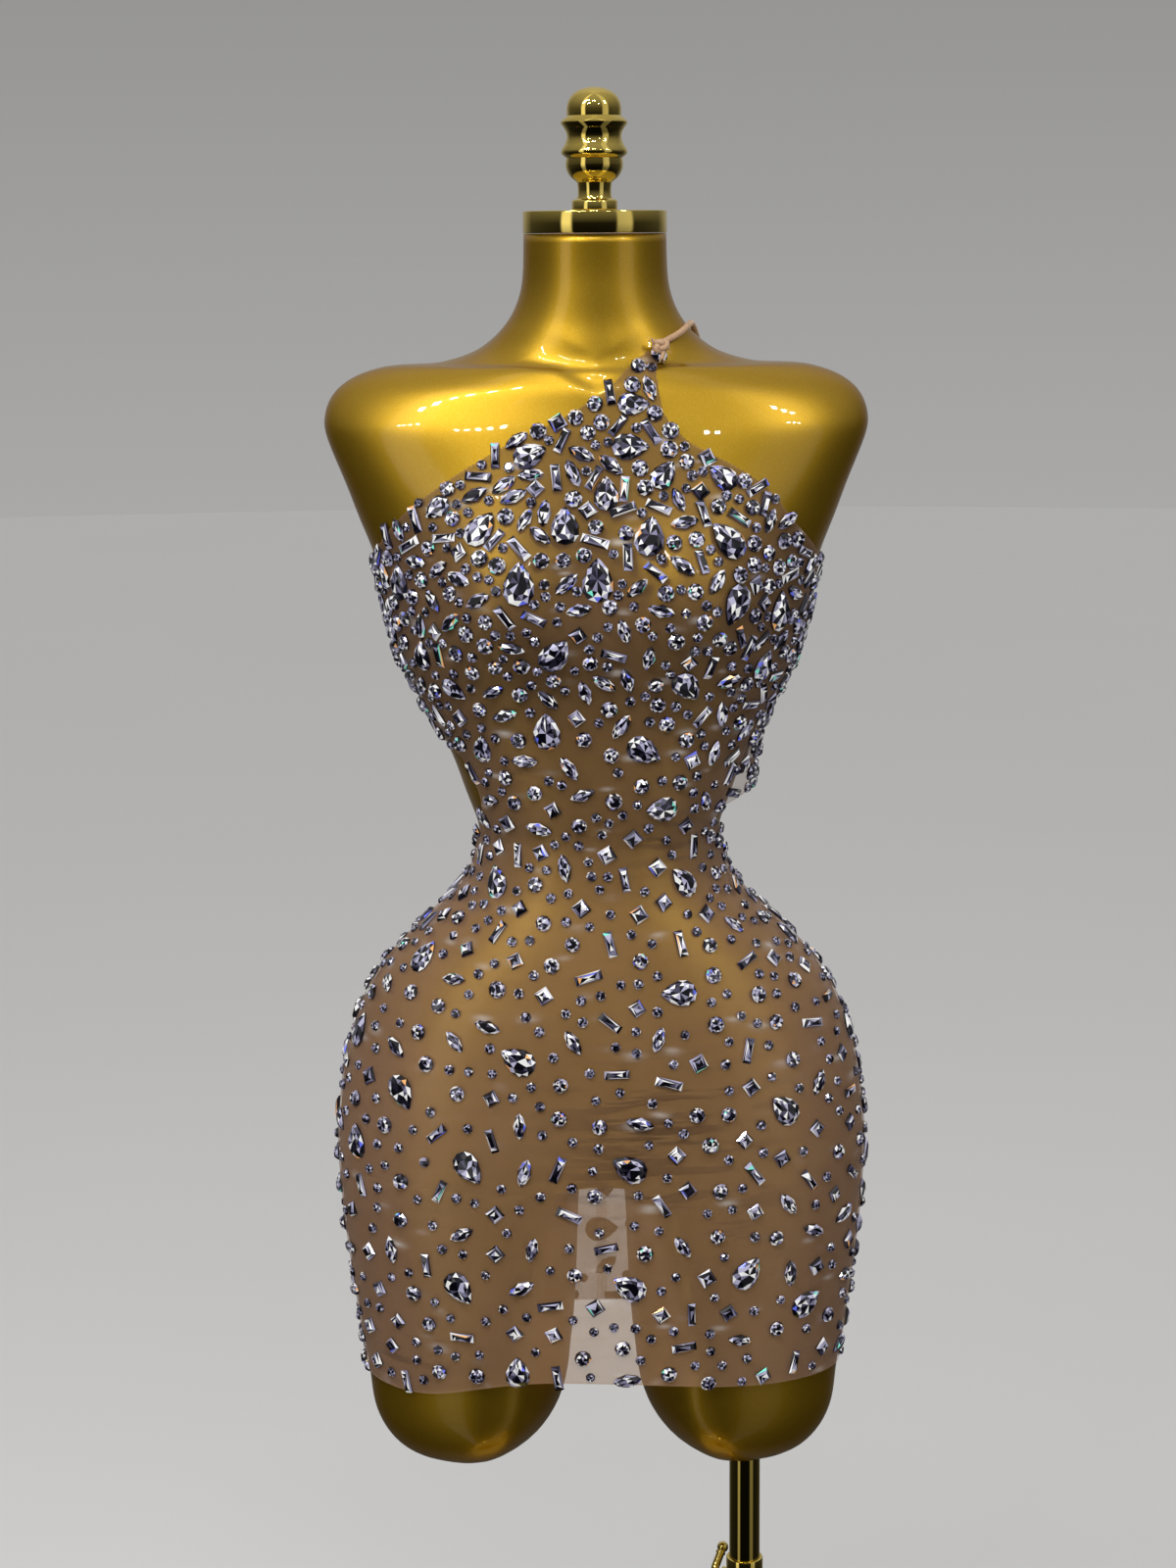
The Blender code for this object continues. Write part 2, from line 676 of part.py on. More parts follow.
def build_crystals(name, crystals, tree):
    """Large crystals as one helper mesh, each with a flat table and a foot sunk in the wall."""
    points, faces = [], []
    for crystal in crystals:
        start = Vector(skin(crystal.angle, crystal.height, CLOTH_VALLEY) * MM)
        centre, normal, _, _ = tree.find_nearest(start)
        scale = crystal.size * MM
        up = (Vector((0, 0, 1)) - normal * normal.z).normalized()
        side = up.cross(normal)
        turn = Matrix.Rotation(math.radians(-crystal.turn), 3, normal)
        up, side = turn @ up, turn @ side
        foot, table = [], []
        for across, along in pear_outline():
            flat = centre + (side * across + up * along) * scale
            near, facing, _, _ = tree.find_nearest(flat)
            foot.append(near + facing * (CLOTH_WALL - PEAR_SINK) * MM)
            top = centre + (side * across + up * along) * PEAR_TABLE * scale
            table.append(top + normal * (CLOTH_WALL + PEAR_RISE) * MM)
        first, count = len(points), len(foot)
        points += foot + table + [centre + normal * (CLOTH_WALL - PEAR_SINK) * MM]
        middle = len(points) - 1
        for i in range(count):
            after = (i + 1) % count
            faces.append((first + i, first + count + i, first + count + after, first + after))
            faces.append((first + after, middle, first + i))
        faces.append(tuple(first + count + i for i in reversed(range(count))))
    mesh = mesh_from(name, points, faces)
    bm = bmesh.new()
    bm.from_mesh(mesh)
    bmesh.ops.recalc_face_normals(bm, faces=bm.faces)
    bm.to_mesh(mesh)
    bm.free()
    return new_cutter(name, mesh)


def back_crystals():
    """The skirt back's crystals, in rows that are moved by half a step."""
    crystals = []
    for row, height in enumerate(BACK_CRYSTAL_HEIGHTS):
        first = BACK_CRYSTAL_FIRST + (row % 2) * 0.5 * BACK_CRYSTAL_STEP
        count = int((360 - BACK_CRYSTAL_FIRST - first) / BACK_CRYSTAL_STEP) + 1
        for i in range(count):
            turn = (len(crystals) * TURN_STEP) % 360
            crystals.append(Crystal(first + i * BACK_CRYSTAL_STEP, height, turn, BACK_SIZE))
    return crystals


def band_crystals(side):
    middle = 0.5 * (BAND_BACK_LOW + BAND_BACK_TOP)
    return [
        Crystal(side * angle, middle, side * TURN_STEP * i, BACK_SIZE)
        for i, angle in enumerate(BAND_CRYSTAL_ANGLES)
    ]


def build_front_panel():
    rows = []
    for row in front_rows():
        first = -SIDE_ANGLE if row.right is SEAM else row.right
        last = SIDE_ANGLE if row.left is SEAM else row.left
        count = cells(first, last, row.height)
        angles, _ = even_angles(first, last, count, row.height, CLOTH_VALLEY)
        at_seam = (-1 if row.right is SEAM else 0, -1 if row.left is SEAM else 0)
        rows.append(cloth_points(angles, row.height + hem_drop(angles, row.height), at_seam))
    return cloth_piece("front_panel", rows, FRONT_CRYSTALS)


def build_skirt_back():
    rows = []
    for z in skirt_heights():
        count = cells(SIDE_ANGLE, 360 - SIDE_ANGLE, z)
        angles, _ = even_angles(SIDE_ANGLE, 360 - SIDE_ANGLE, count, z, CLOTH_VALLEY)
        wrapped = np.where(angles > BACK_ANGLE, angles - 360, angles)
        reach = np.sin(np.radians(angles - SIDE_ANGLE)) * ease(SKIRT_TOP - BACK_DIP_REACH, SKIRT_TOP, z)
        dip = BACK_DIP * reach
        rows.append(cloth_points(wrapped, z + hem_drop(wrapped, z) - dip, (1, 1)))
    return cloth_piece("skirt_back", rows, back_crystals())


def build_back_band(name, side, low):
    """One back band, from its side seam to the centre back. Side is 1 for the wearer's left."""
    heights = bodice_heights(low)
    share_up = np.linspace(0, 1, len(heights))
    middle = BAND_BACK_LOW + (BAND_BACK_TOP - BAND_BACK_LOW) * share_up
    count = cells(SIDE_ANGLE, BACK_ANGLE, BAND_MIDDLE)
    angles, _ = even_angles(SIDE_ANGLE, BACK_ANGLE, count, BAND_MIDDLE, CLOTH_VALLEY)
    towards_back = ease(0.0, 1.0, np.linspace(0, 1, len(angles)))
    rows = []
    for z, back in zip(heights, middle):
        row = cloth_points(angles, z + (back - z) * towards_back, (1, 0))
        row[-1, 0] = 0.5 * GAP
        rows.append(row if side > 0 else (row * (-1, 1, 1))[::-1])
    return cloth_piece(name, rows, band_crystals(side))


def surface_point(across, height, side, off):
    """A point at a distance off the bare skin."""
    angle = angle_at(across, height)
    angle = np.array(angle if side == FRONT else math.copysign(BACK_ANGLE, across) - angle)
    return Vector(skin(angle, height) + skin_normal(angle, height) * off)


def smooth_route(route, step):
    """Points along a smooth curve through the route's points."""
    knots = [route[0] * 2 - route[1]] + list(route) + [route[-1] * 2 - route[-2]]
    points = []
    for before, start, end, after in zip(knots, knots[1:], knots[2:], knots[3:]):
        count = max(1, round((end - start).length / step))
        for i in range(count):
            t = i / count
            curve = start * 2 + (end - before) * t
            curve += (before * 2 - start * 5 + end * 4 - after) * t**2
            curve += (start * 3 - before - end * 3 + after) * t**3
            points.append(curve * 0.5)
    return points + [route[-1]]


def build_tube(name, points, radius, collection, material):
    curve = bpy.data.curves.new(name, "CURVE")
    curve.dimensions = "3D"
    curve.bevel_depth = radius * MM
    curve.bevel_resolution = CORD_SIDES_SETTING
    curve.use_fill_caps = True
    spline = curve.splines.new("POLY")
    spline.points.add(len(points) - 1)
    for place, point in zip(spline.points, points):
        place.co = (*(point * MM), 1.0)
    return new_object(name, curve, collection, material)


def build_strap():
    off = STRAP_RADIUS + STRAP_OFF
    route = [surface_point(p.across, p.height, p.side, off) for p in STRAP_ROUTE]
    build_tube("strap", smooth_route(route, STRAP_STEP), STRAP_RADIUS, PARTS, CORD)


def build_strap_knot():
    centre = surface_point(KNOT_ACROSS, KNOT_HEIGHT, FRONT, KNOT_HALF[1] + KNOT_OFF)
    bm = bmesh.new()
    bmesh.ops.create_icosphere(bm, subdivisions=BALL_DETAIL, radius=1.0)
    lean = Matrix.Rotation(math.radians(-KNOT_LEAN), 4, "Y")
    shape = Matrix.Diagonal((*[half * MM for half in KNOT_HALF], 1))
    bmesh.ops.transform(bm, matrix=Matrix.Translation(centre * MM) @ lean @ shape, verts=bm.verts)
    new_object("strap_knot", mesh_from_bmesh("strap_knot", bm), PARTS, CORD)


def turned(name, profile, at, collection, material, steps=ROUND_STEPS, closed=False):
    """A turned solid from (radius, height) points that run down its outer side."""
    points = [(radius * MM, 0, height * MM) for radius, height in profile]
    edges = [(i, i + 1) for i in range(len(points) - 1)]
    if closed:
        edges.append((len(points) - 1, 0))
    mesh = bpy.data.meshes.new(name)
    mesh.from_pydata(points, edges, [])
    obj = new_object(name, mesh, collection, material)
    obj.location = Vector(at) * MM
    screw = obj.modifiers.new("turn", "SCREW")
    screw.steps = steps
    screw.render_steps = steps
    screw.use_merge_vertices = True
    screw.merge_threshold = TURN_MERGE
    screw.use_smooth_shade = True
    return obj


def build_neck_ring():
    profile = [(0, RING_TOP), (RING_RADIUS - RING_EDGE, RING_TOP)]
    profile += [(RING_RADIUS, RING_TOP - RING_EDGE), (RING_RADIUS, RING_BOTTOM + RING_EDGE)]
    profile += [(RING_RADIUS - RING_EDGE, RING_BOTTOM), (0, RING_BOTTOM)]
    turned("neck_ring", profile, (0, 0, 0), PARTS, GOLD_METAL)


def build_finial():
    turned("finial", FINIAL_PROFILE, (0, 0, 0), PARTS, GOLD_METAL, FINIAL_STEPS)


def screw_direction():
    turn = math.radians(SCREW_TURN)
    return Vector((math.cos(turn), math.sin(turn), 0))


def rod(name, radius, start, end, sides=ROD_SIDES):
    """A helper cylinder between two millimetre points."""
    axis = end - start
    bm = bmesh.new()
    bmesh.ops.create_cone(
        bm, cap_ends=True, segments=sides, radius1=radius * MM, radius2=radius * MM, depth=axis.length * MM
    )
    turn = axis.to_track_quat("Z", "Y").to_matrix().to_4x4()
    bmesh.ops.transform(bm, matrix=Matrix.Translation((start + end) * 0.5 * MM) @ turn, verts=bm.verts)
    return new_cutter(name, mesh_from_bmesh(name, bm))


def build_base_plate():
    profile = [(0, BASE_HEIGHT), (BASE_RADIUS - BASE_EDGE, BASE_HEIGHT)]
    profile += [(BASE_RADIUS - BASE_ROUND, BASE_HEIGHT - BASE_ROUND), (BASE_RADIUS, BASE_HEIGHT - BASE_EDGE)]
    profile += [(BASE_RADIUS, BASE_UNDER_EDGE), (BASE_RADIUS - BASE_UNDER_EDGE, 0), (0, 0)]
    turned("base_plate", profile, (0, 0, 0), PARTS, GOLD_METAL)


def build_outer_tube():
    """Tube with its foot, and the nut of the clamp screw."""
    foot_top = FOOT_BOTTOM + FOOT_HEIGHT
    profile = [(BORE_RADIUS, TUBE_TOP), (TUBE_RADIUS - TUBE_EDGE, TUBE_TOP), (TUBE_RADIUS, TUBE_TOP - TUBE_EDGE)]
    profile += [(TUBE_RADIUS, foot_top + FOOT_FILLET), (TUBE_RADIUS + FOOT_FILLET, foot_top)]
    profile += [(FOOT_RADIUS - FOOT_EDGE, foot_top), (FOOT_RADIUS, foot_top - FOOT_EDGE)]
    profile += [(FOOT_RADIUS, FOOT_BOTTOM), (BORE_RADIUS, FOOT_BOTTOM)]
    tube = turned("outer_tube", profile, (POLE_ACROSS, 0, 0), PARTS, GOLD_METAL, POLE_STEPS, True)
    axis, centre = screw_direction(), Vector((POLE_ACROSS, 0, SCREW_HEIGHT))
    nut = rod("nut", NUT_RADIUS, centre + axis * NUT_START, centre + axis * NUT_REACH, NUT_SIDES)
    add_boolean(tube, nut, "UNION")
    hole = rod("screw_hole", SCREW_RADIUS + GAP, centre + axis * HOLE_START, centre + axis * HOLE_END)
    add_boolean(tube, hole, "DIFFERENCE")


def build_mast():
    profile = [(0, MAST_TOP), (MAST_RADIUS - MAST_EDGE, MAST_TOP), (MAST_RADIUS, MAST_TOP - MAST_EDGE)]
    profile += [(MAST_RADIUS, MAST_BOTTOM + MAST_EDGE), (MAST_RADIUS - MAST_EDGE, MAST_BOTTOM), (0, MAST_BOTTOM)]
    turned("mast", profile, (POLE_ACROSS, 0, 0), PARTS, GOLD_METAL, POLE_STEPS)


def build_clamp_screw():
    """L-shaped screw: a threaded rod that bends up into a short lever with a ball end."""
    axis, centre = screw_direction(), Vector((POLE_ACROSS, 0, SCREW_HEIGHT))
    lean = math.radians(LEVER_LEAN)
    lever = Vector((0, 0, math.cos(lean))) + Vector((axis.y, -axis.x, 0)) * math.sin(lean)
    corner = centre + axis * LEVER_AT
    points = [centre + axis * BORE_RADIUS]
    for i in range(BEND_STEPS + 1):
        turn = math.radians(90 * i / BEND_STEPS)
        back = axis * (math.sin(turn) - 1) * BEND_RADIUS
        points.append(corner + back + lever * (1 - math.cos(turn)) * BEND_RADIUS)
    tip = corner + lever * LEVER_LENGTH
    points.append(tip)
    curve = build_tube("clamp_curve", points, SCREW_RADIUS, CUTTERS, None)
    graph = bpy.context.evaluated_depsgraph_get()
    mesh = bpy.data.meshes.new_from_object(curve.evaluated_get(graph))
    bm = bmesh.new()
    bm.from_mesh(mesh)
    bmesh.ops.remove_doubles(bm, verts=bm.verts, dist=TURN_MERGE)
    bmesh.ops.recalc_face_normals(bm, faces=bm.faces)
    bm.to_mesh(mesh)
    bm.free()
    bpy.data.objects.remove(curve)
    mesh.name = "clamp_screw"
    clamp = new_object("clamp_screw", mesh, PARTS, GOLD_METAL)
    ball = bmesh.new()
    bmesh.ops.create_icosphere(ball, subdivisions=BALL_DETAIL, radius=BALL_RADIUS * MM)
    bmesh.ops.translate(ball, vec=tip * MM, verts=ball.verts)
    add_boolean(clamp, new_cutter("lever_ball", mesh_from_bmesh("lever_ball", ball)), "UNION")


clear_scene()
PARTS = new_collection("mini_dress_on_form")
CUTTERS = new_collection("cutters", hidden=True)
GOLD_PAINT = new_material("gold_paint", (0.62, 0.42, 0.08), 0.28, 0.85)
GOLD_METAL = new_material("gold_metal", (0.80, 0.66, 0.20), 0.08, 1.0)
MESH_CLOTH = new_material("mesh_cloth", (0.60, 0.42, 0.30), 0.75, 0.0)
CORD = new_material("strap_cord", (0.72, 0.55, 0.42), 0.7, 0.0)
build_form()
build_front_panel()
build_skirt_back()
build_back_band("back_band_left", 1, BAND_LOW_LEFT)
build_back_band("back_band_right", -1, BAND_LOW_RIGHT)
build_strap_knot()
build_strap()
build_neck_ring()
build_finial()
build_mast()
build_base_plate()
build_outer_tube()
build_clamp_screw()
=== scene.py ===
"""Looks of the mini dress and of the form it stands on: net, crystals, cord, gold paint and mirror gold.

Metres, +Z up, front towards -Y, +X the wearer's left. The tables give millimetres, and MM turns them to metres.
"""

import math
from collections import namedtuple

import bpy
import numpy as np
from mathutils import Matrix, Vector
from mathutils.bvhtree import BVHTree
from mathutils.kdtree import KDTree


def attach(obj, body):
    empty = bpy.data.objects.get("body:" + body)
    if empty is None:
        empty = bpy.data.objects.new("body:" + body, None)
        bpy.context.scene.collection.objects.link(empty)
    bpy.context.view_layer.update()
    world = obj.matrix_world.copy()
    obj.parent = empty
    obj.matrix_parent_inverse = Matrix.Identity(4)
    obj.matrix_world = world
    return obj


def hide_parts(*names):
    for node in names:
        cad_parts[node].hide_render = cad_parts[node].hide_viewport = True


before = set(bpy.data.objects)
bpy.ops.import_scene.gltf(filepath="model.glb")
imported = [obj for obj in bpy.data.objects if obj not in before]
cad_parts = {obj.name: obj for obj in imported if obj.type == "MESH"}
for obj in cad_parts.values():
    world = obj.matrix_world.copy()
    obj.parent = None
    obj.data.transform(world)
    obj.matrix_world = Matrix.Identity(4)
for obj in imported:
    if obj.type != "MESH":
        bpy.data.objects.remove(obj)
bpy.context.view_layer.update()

MM = 0.001
WELD = 0.00002
ROUND_STEPS = 72
bpy.context.tool_settings.mesh_select_mode = (False, False, True)

# Camera, at the photograph's place and angle, in metres and degrees
CAMERA_PLACE = (-0.0075, -2.06, 1.45)
CAMERA_DOWN = 10.4
CAMERA_ROLL = -0.45
CAMERA_LENS = 69.3

# Form: how finely it is rounded, and the rims that stay sharp
FORM_LEVELS = 2
RIM_SHARPNESS = 50.0
NECK_RIM_FROM = 1440.0
SOCKET_REACH = 13.0
# Part of the front where the thighs' rings meet the body's, and how often it is eased
GROIN_FRONT = -20.0
GROIN_FROM = 6.0
GROIN_TO = 150.0
GROIN_LOW = 775.0
GROIN_HIGH = 845.0
GROIN_ROUNDS = 14
# Line where the chest meets the top of the shoulders, from the middle outwards. The chest is fuller below it, and
# the form falls away sharply above it
RIDGE_ACROSS = (0.0, 26.0, 50.0, 90.0, 140.0, 190.0)
RIDGE_HEIGHTS = (1342.0, 1357.0, 1358.5, 1357.5, 1359.0, 1354.0)
RIDGE_RISES = (0.5, 1.2, 2.0, 2.3, 2.3, 2.3)
RIDGE_BELOW = 15.0
RIDGE_ABOVE = 3.6
RIDGE_ENDS = 172.0
RIDGE_FADE = 30.0
HOLLOW_DEPTH = 0.7
HOLLOW_END = 26.0

# Cloth sheets: the CAD node each copies, how finely, and where its weave starts round the body
Sheet = namedtuple("Sheet", "name node levels front width length area")
SHEETS = (
    Sheet("front_net", "front_panel", 3, True, 0.43, 0.68, 0.20),
    Sheet("skirt_back_net", "skirt_back", 3, False, 0.44, 0.36, 0.13),
    Sheet("band_left_net", "back_band_left", 2, False, 0.14, 0.14, 0.014),
    Sheet("band_right_net", "back_band_right", 2, False, 0.14, 0.12, 0.012),
)
# A wall's inner faces point against the form's surface, or beside the thighs against the body's axis
FACING_FORM = -0.5
THIGHS_BELOW = 816.0
# The least that a sheet stays off the form, from where on it counts as slack, and which open edges are seams
LEAST_OFF = 0.9
SLACK_FROM = 6.0
SEAM_REACH = 2.5
SIDE_SEAM_FROM = 60.0
BACK_SEAM_FROM = 1100.0
# Rounding of the CAD's triangles: the largest angle in a pair, and how the round surface is fitted to the points
PAIR_ANGLE = 40.0
FIT_ROUNDS = 3
FIT_SHARE = 0.85
# Net: its holes, its stitches and the teeth of its cut edge
WEAVE_RADIUS = 130.0
HOLE_PITCH = 1.5
HOLE_LEAN = 1.7
STITCH_PITCH = 2.6
STITCH_AT = 3.2
TOOTH_PITCH = 2.2
SEAM_WIDE = 4.5
EDGE_WIDE = 2.2
NET_MIDDLE = 140.0
# Painted shade of the stones: the net is painted darker between close stones, from this height up
SHADE_FROM = 1000.0
SHADE_RISE = 0.008
SHADE_MOST = 0.60
# Places where the stretched net is drawn into fine creases. Painted shade darkens the net in them
Crease = namedtuple("Crease", "across height wide tall strength")
CREASES = (
    Crease(38.0, 862.0, 62.0, 34.0, 1.0),
    Crease(20.0, 812.0, 46.0, 22.0, 0.8),
    Crease(-148.0, 684.0, 40.0, 16.0, 1.0),
    Crease(46.0, 1046.0, 26.0, 20.0, 0.9),
    Crease(-52.0, 1092.0, 22.0, 16.0, 0.6),
    Crease(96.0, 796.0, 30.0, 40.0, 0.5),
)

# Stones: sides of the outline, size, height, and the circles that keep others off
Cut = namedtuple("Cut", "name outline sides width length height circle ends")
CUTS = {
    "pear": Cut("pear", "pear", 12, 20.5, 29.0, 5.2, 9.6, 3.0),
    "marquise": Cut("marquise", "lens", 8, 9.2, 18.8, 3.8, 3.9, 5.6),
    "baguette": Cut("baguette", "box", 4, 6.0, 17.6, 3.2, 3.1, 5.9),
    "square": Cut("square", "box", 4, 9.8, 9.8, 3.6, 5.6, 0.0),
    "chaton": Cut("chaton", "round", 10, 11.4, 11.4, 4.2, 5.6, 0.0),
    "dot": Cut("dot", "round", 8, 7.3, 7.3, 3.0, 3.6, 0.0),
}
# Rings of a cut stone, from the flat back up: share of the height, share of the outline, half a side's turn
Ring = namedtuple("Ring", "rise share turned")
RINGS = (Ring(0.30, 1.0, False), Ring(0.42, 0.80, True), Ring(0.28, 0.56, True))
BOX_RINGS = (Ring(0.30, 1.0, False), Ring(0.42, 0.76, False), Ring(0.28, 0.46, False))
PEAR_TAPER = 0.7
PEAR_FULLNESS = 0.62
LENS_TAPER = 0.55
# Flat tables of the CAD's raised pears: their span, how high they lie, and the fewest points of one
TABLE_SPAN = 17.4
TABLE_OFF = 3.6
TABLE_LEAST = 5
STONE_SINK = 0.5
STONE_TILT = 5.0
LEAST_SIZE = 0.92
SIZE_SPREAD = 0.14
# How near stones come to a raw edge and to a seam. Near the point of the neckline only round and pointed ones fit
EDGE_SHARE = 0.15
SEAM_EASE = 1.5
NO_SEAM = 99.0
TIP_FROM = 1352.0
# How much cloth is left bare between stones at a height: larger stones first, then the small round ones
GAP_HEIGHTS = (650.0, 900.0, 950.0, 1000.0, 1060.0, 1130.0, 1200.0, 1250.0, 1290.0, 1400.0)
LARGE_GAPS = (11.0, 11.0, 9.5, 7.5, 5.6, 4.2, 2.2, 1.0, 0.2, 0.0)
SMALL_GAPS = (6.0, 5.8, 4.8, 3.4, 2.4, 1.7, 0.8, 0.5, 0.1, 0.0)
# The bodice's sides, where stones lie closer: where they begin across, and over what width
SIDE_CLOSER = 0.28
Side = namedtuple("Side", "start fade")
LEFT_SIDE = Side(62.0, 40.0)
RIGHT_SIDE = Side(95.0, 30.0)
LARGE_TRIES = 22000
SMALL_TRIES = 16000
DENSE_FROM = 1110.0
DENSE_OVER = 120.0
DENSE_TRIES = 4.0
# Shares of the kinds on the skirt and on the bodice
Mix = namedtuple("Mix", "kind skirt bodice")
STONE_MIX = (
    Mix("marquise", 0.24, 0.42),
    Mix("baguette", 0.28, 0.20),
    Mix("square", 0.22, 0.09),
    Mix("chaton", 0.26, 0.29),
)
BODICE_FROM = 1040.0
SEED = 11
# Lowest and highest painted reflection of a facet, as places on the crystal's ramp: on the flat top, on the sides
# below it, and at the girdle
TOP_REFLECTIONS = (0.0, 0.94)
SIDE_REFLECTIONS = (0.16, 1.0)
GIRDLE_REFLECTIONS = (0.0, 0.45)
TOP_ABOVE = 0.9
SIDES_ABOVE = 0.4
DOT_SHARE = 0.86
# Spots of light on the net: how many stones throw one, how far, and its size
GLOW_SHARE = 0.26
GLOW_AWAY = 9.0
GLOW_WIDE = 5.0
GLOW_TALL = 1.7
GLOW_SIZES = (0.6, 1.3)
GLOW_LIGHT = 0.8

# Strap and knot
STRAP_RADIUS = 2.1
STRAP_ROUTE = (
    (43.1, -46.7, 1376.1), (55.1, -34.6, 1381.9), (61.8, -19.6, 1386.6), (65.2, 9.3, 1387.2),
    (68.8, 24.3, 1379.1), (72.9, 46.5, 1365.2), (77.7, 68.8, 1347.2), (81.6, 81.1, 1318.9),
    (85.8, 84.6, 1285.1), (89.0, 83.9, 1249.9), (91.3, 81.3, 1213.8),
)
KNOT_CENTRE = (42.6, -51.6, 1374.6)
KNOT_SIZE = (3.1, 1.9, 2.3)
KNOT_SWELL = 0.42
KNOT_LEAN = 25.0
KNOT_POINTS = 72
KNOT_CORD = 1.9
TAIL_RADIUS = 1.5
TAILS = (
    ((41.0, -51.5, 1376.0), (38.6, -52.6, 1377.4), (37.2, -53.0, 1378.0)),
    ((44.0, -52.2, 1373.0), (44.4, -52.6, 1370.0), (43.0, -53.6, 1366.0)),
    ((44.5, -52.0, 1375.0), (46.6, -52.2, 1374.0), (47.6, -52.0, 1372.8)),
)
FRAYS = 10
FRAY_RADIUS = 0.14
FRAY_LENGTH = 2.6

# Colours
GOLD_DEEP = (0.50, 0.285, 0.012)
GOLD_PALE = (0.60, 0.36, 0.022)
GOLD_FLAKE = (0.85, 0.62, 0.14)
GOLD_GLANCE = (0.40, 0.27, 0.06)
PLATED_DEEP = (0.74, 0.53, 0.10)
PLATED_PALE = (0.86, 0.69, 0.21)
NUDE_DEEP = (0.33, 0.175, 0.07)
NUDE_PALE = (0.48, 0.27, 0.12)
# Painted sheen of the net towards its sides
NUDE_SIDE_SHEEN = (0.40, 0.225, 0.165)
# Painted shade that close stones throw on the net
NUDE_SHADED = (0.09, 0.042, 0.018)
# Painted shade in the net's folds
NUDE_FOLD_SHADE = (0.12, 0.055, 0.022)
NUDE_THREAD = (0.42, 0.22, 0.13)
NUDE_SHEEN = (0.92, 0.70, 0.56)
SPOT_WHITE = (0.95, 0.92, 0.88)
CORD_DEEP = (0.30, 0.165, 0.085)
CORD_PALE = (0.56, 0.37, 0.225)
CORD_SHEEN = (0.95, 0.78, 0.66)
# Painted reflections of the facets: black, slate, lavender grey and white, and a few painted glints of blue,
# orange and green
FACET_REFLECTIONS = (
    (0.0, (0.003, 0.003, 0.006)),
    (0.36, (0.014, 0.013, 0.026)),
    (0.49, (0.075, 0.070, 0.12)),
    (0.59, (0.25, 0.24, 0.36)),
    (0.69, (0.52, 0.51, 0.70)),
    (0.80, (1.0, 1.0, 1.0)),
    (0.965, (0.16, 0.20, 1.0)),
    (0.980, (1.0, 0.50, 0.18)),
    (0.992, (0.25, 0.95, 0.75)),
)

# Studio: its pale surroundings and floor, and the backdrop's light below and above the horizon
STUDIO_PALE = 0.34
STUDIO_ABOVE = 0.26
STUDIO_WHITE = (1.0, 0.99, 0.97)
BACKDROP_LOW = 0.405
BACKDROP_HIGH = 0.29
HORIZON_FADE = 5.0
FLOOR_TONE = 0.84
FLOOR_RADIUS = 14.0
# Room that gloss reflects: its bands of light by direction, in degrees, and how they fade below and above
Band = namedtuple("Band", "turn light")
ROOM_BANDS = (
    Band(-180.0, 0.34), Band(-150.0, 0.30), Band(-122.0, 0.06), Band(-88.0, 0.04), Band(-57.0, 0.03),
    Band(-53.0, 1.20), Band(-40.0, 1.20), Band(-36.0, 0.012), Band(34.0, 0.012), Band(38.0, 0.52),
    Band(60.0, 0.62), Band(65.0, 0.03), Band(88.0, 0.04), Band(122.0, 0.06), Band(150.0, 0.30), Band(180.0, 0.34),
)
ROOM_CEILING = 0.45
ROOM_FADE_BELOW = 1.7
ROOM_LEAST_BELOW = 0.25
ROOM_FADE_ABOVE = 0.5
# Rows of small ceiling lamps, and the soft panel that lights the front, in metres and watts
LampRow = namedtuple("LampRow", "x y count")
LAMP_ROWS = (
    LampRow(-1.60, -1.5, 4), LampRow(-0.80, -1.05, 6), LampRow(-0.85, -2.0, 5), LampRow(-0.05, -1.3, 3),
    LampRow(1.30, -1.05, 3), LampRow(0.90, -2.2, 2), LampRow(1.80, -1.5, 3),
)
LAMP_STEP = 0.13
LAMP_SIZE = 0.055
LAMP_HEIGHT = 2.7
LAMP_POWER = 0.95
LAMP_AIM = (0.3, -0.05, 1.1)
PANEL_PLACE = (-0.4, -1.9, 2.9)
PANEL_AIM = (0.0, 0.0, 1.15)
PANEL_SIZE = (2.0, 0.9)
PANEL_POWER = 34.0
PANEL_WHITE = (1.0, 0.98, 0.94)

# Turned pieces, as radius and height from the bottom up
RING_PROFILE = (
    (46.0, 1448.0), (47.7, 1448.0), (48.3, 1448.3), (48.5, 1448.9), (48.5, 1461.8), (48.2, 1462.5),
    (47.6, 1462.8), (40.0, 1462.8), (10.0, 1462.8),
)
FINIAL_PROFILE = (
    (14.8, 1463.1), (15.4, 1463.9), (15.4, 1468.6), (15.0, 1469.4), (14.2, 1470.2), (12.0, 1470.8),
    (11.3, 1472.5), (11.2, 1477.0), (11.7, 1481.4), (13.6, 1482.9), (15.8, 1484.6), (17.3, 1486.6),
    (18.5, 1488.9), (19.2, 1491.2), (19.4, 1493.4), (18.9, 1496.6), (18.9, 1497.4), (20.4, 1498.5),
    (22.0, 1500.0), (22.3, 1501.2), (22.0, 1502.8), (20.2, 1505.6), (18.7, 1508.9), (18.3, 1511.4),
    (18.7, 1514.2), (20.4, 1517.2), (22.2, 1519.6), (22.4, 1520.9), (21.6, 1522.3), (19.2, 1524.0),
    (18.3, 1525.0), (18.4, 1529.5), (18.0, 1532.6), (17.0, 1535.4), (15.2, 1538.2), (12.9, 1540.3),
    (10.0, 1542.0), (6.9, 1543.1), (3.5, 1543.8), (0.8, 1544.0),
)
MAST_PROFILE = (
    (10.0, 205.0), (11.0, 206.0), (11.0, 699.0), (10.0, 700.0),
)
